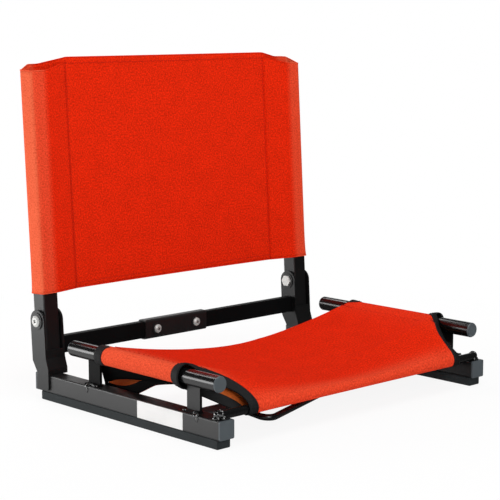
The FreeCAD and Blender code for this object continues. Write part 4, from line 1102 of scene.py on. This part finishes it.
# Lamps: place, aim, size and power.
LAMPS = {
    "left_softbox": ((-1.20, 1.05, 0.16), (-0.2, -0.1, 0.15), (1.2, 0.6), 14),
    "rear_strip": ((0.10, 1.05, 1.20), (0.0, -0.1, 0.08), (1.2, 0.40), 8),
    "top_softbox": ((-0.1, -0.6, 2.2), (0, 0, 0.1), (1.5, 1.2), 20),
    "front_softbox": ((-1.0, -2.1, 1.1), (0, 0, 0.25), (1.0, 1.0), 19),
}


def add_lamp(name, place, aim, size, power):
    """A rectangular area lamp turned to a point."""
    data = bpy.data.lights.new(name, "AREA")
    data.shape, data.size, data.size_y, data.energy = "RECTANGLE", *size, power
    made = bpy.data.objects.new(name, data)
    bpy.context.collection.objects.link(made)
    made.location = place
    made.rotation_mode = "QUATERNION"
    made.rotation_quaternion = (Vector(aim) - Vector(place)).to_track_quat("-Z", "Y")


def falling(tree, place, way, start, stop, least):
    """A light level that rises smoothly from its least to 1 along a direction."""
    return ranged(tree, vector_maths(tree, "DOT_PRODUCT", place, way), start, stop, least, 1.0, "SMOOTHSTEP")


def ray_masks(tree):
    """Masks of the rays that come from the camera, and from mirrors or through glass."""
    path = tree.nodes.new("ShaderNodeLightPath").outputs
    return path["Is Camera Ray"], maths(tree, "MAXIMUM", path["Is Glossy Ray"], path["Is Transmission Ray"])


def floor_material():
    """Pale floor: white to the camera, with a soft shadow near the chair.

    Reflections see it white at the rear left, where it is lit, and dark towards the front right.
    """
    material, tree, shader = blank_material("studio_floor", Base_Color=(0.93, 0.93, 0.93, 1), Roughness=0.9,
                                            Specular_IOR_Level=0.0)
    glow = tree.nodes.new("ShaderNodeEmission")
    mix = tree.nodes.new("ShaderNodeMixShader")
    where = tree.nodes.new("ShaderNodeTexCoord").outputs["Object"]
    camera, mirror = ray_masks(tree)
    edge = ranged(tree, vector_maths(tree, "LENGTH", where), *FLOOR_FADE)
    tree.links.new(maths(tree, "MULTIPLY", maths(tree, "MAXIMUM", camera, mirror), edge), mix.inputs["Fac"])
    lit = maths(tree, "SUBTRACT", falling(tree, where, *FLOOR_LIGHT), 1.0)
    tree.links.new(maths(tree, "MULTIPLY_ADD", mirror, lit, 1.0), glow.inputs["Strength"])
    tree.links.new(shader.outputs[0], mix.inputs[1])
    tree.links.new(glow.outputs[0], mix.inputs[2])
    tree.links.new(mix.outputs[0], tree.nodes["Material Output"].inputs["Surface"])
    return material


class CHAIR_OT_stage(bpy.types.Operator):
    """Sets the floor, the lamps, the world and the camera."""
    bl_idname = "chair.stage"
    bl_label = "Stage"

    def execute(self, context):
        stage = context.scene.chair_stage
        plane = np.array([[(-1, -1, 0), (1, -1, 0)], [(-1, 1, 0), (1, 1, 0)]]) * FLOOR_REACH
        floor = add_piece("studio_floor", [(plane, plane[..., :2])], floor_material(), recalc=False)
        world = bpy.data.worlds.new("studio")
        context.scene.world = world
        world.use_nodes = True
        tree = world.node_tree
        ground = tree.nodes["Background"]
        ground.inputs["Color"].default_value = (1, 1, 1, 1)
        seen, mirror = ray_masks(tree)
        where = tree.nodes.new("ShaderNodeTexCoord").outputs["Generated"]
        backdrop = maths(tree, "SUBTRACT", falling(tree, where, *BACKDROP_LIGHT), WORLD_LEVEL)
        level = maths(tree, "MULTIPLY_ADD", seen, 1 - WORLD_LEVEL, WORLD_LEVEL)
        tree.links.new(maths(tree, "MULTIPLY_ADD", mirror, backdrop, level), ground.inputs["Strength"])
        for name, values in LAMPS.items():
            add_lamp(name, *values)
        camera = bpy.data.objects.new("camera", bpy.data.cameras.new("camera"))
        context.collection.objects.link(camera)
        back = Vector((sin(stage.azimuth) * cos(stage.elevation), -cos(stage.azimuth) * cos(stage.elevation),
                       sin(stage.elevation)))
        camera.location = Vector(stage.target) + back * stage.distance
        camera.rotation_mode = "QUATERNION"
        camera.rotation_quaternion = (-back).to_track_quat("-Z", "Y")
        camera.data.sensor_width = 36.0
        camera.data.lens = stage.lens
        context.scene.camera = camera
        context.scene.view_settings.view_transform = "Standard"
        return {"FINISHED"}


class CHAIR_PT_panel(bpy.types.Panel):
    """Lists the chair's steps and sizes."""
    bl_label = "Stadium Chair"
    bl_idname = "CHAIR_PT_panel"
    bl_space_type = "VIEW_3D"
    bl_region_type = "UI"
    bl_category = "Chair"

    def draw(self, context):
        for step in STEPS:
            self.layout.operator(step.bl_idname)
        for group in (context.scene.chair_cloth, context.scene.chair_finishes, context.scene.chair_stage):
            box = self.layout.box()
            for name in group.bl_rna.properties.keys():
                if name not in ("rna_type", "name"):
                    box.prop(group, name)


GROUPS = (ChairClothSizes, ChairFinishes, ChairStage)
STEPS = (CHAIR_OT_frame_finishes, CHAIR_OT_seat_cloth, CHAIR_OT_seat_tapes, CHAIR_OT_back_cloth, CHAIR_OT_back_hems,
         CHAIR_OT_stitches, CHAIR_OT_welds, CHAIR_OT_name_plate, CHAIR_OT_drive_recesses, CHAIR_OT_stage)


def register():
    for item in GROUPS + STEPS + (CHAIR_PT_panel,):
        bpy.utils.register_class(item)
    bpy.types.Scene.chair_cloth = bpy.props.PointerProperty(type=ChairClothSizes)
    bpy.types.Scene.chair_finishes = bpy.props.PointerProperty(type=ChairFinishes)
    bpy.types.Scene.chair_stage = bpy.props.PointerProperty(type=ChairStage)


def unregister():
    del bpy.types.Scene.chair_stage
    del bpy.types.Scene.chair_finishes
    del bpy.types.Scene.chair_cloth
    for item in reversed(GROUPS + STEPS + (CHAIR_PT_panel,)):
        bpy.utils.unregister_class(item)


def main():
    register()
    bpy.ops.chair.frame_finishes()
    bpy.ops.chair.seat_cloth()
    bpy.ops.chair.seat_tapes()
    bpy.ops.chair.back_cloth()
    bpy.ops.chair.back_hems()
    bpy.ops.chair.stitches()
    bpy.ops.chair.welds()
    bpy.ops.chair.name_plate()
    bpy.ops.chair.drive_recesses()
    bpy.ops.chair.stage()


if __name__ == "__main__":
    main()
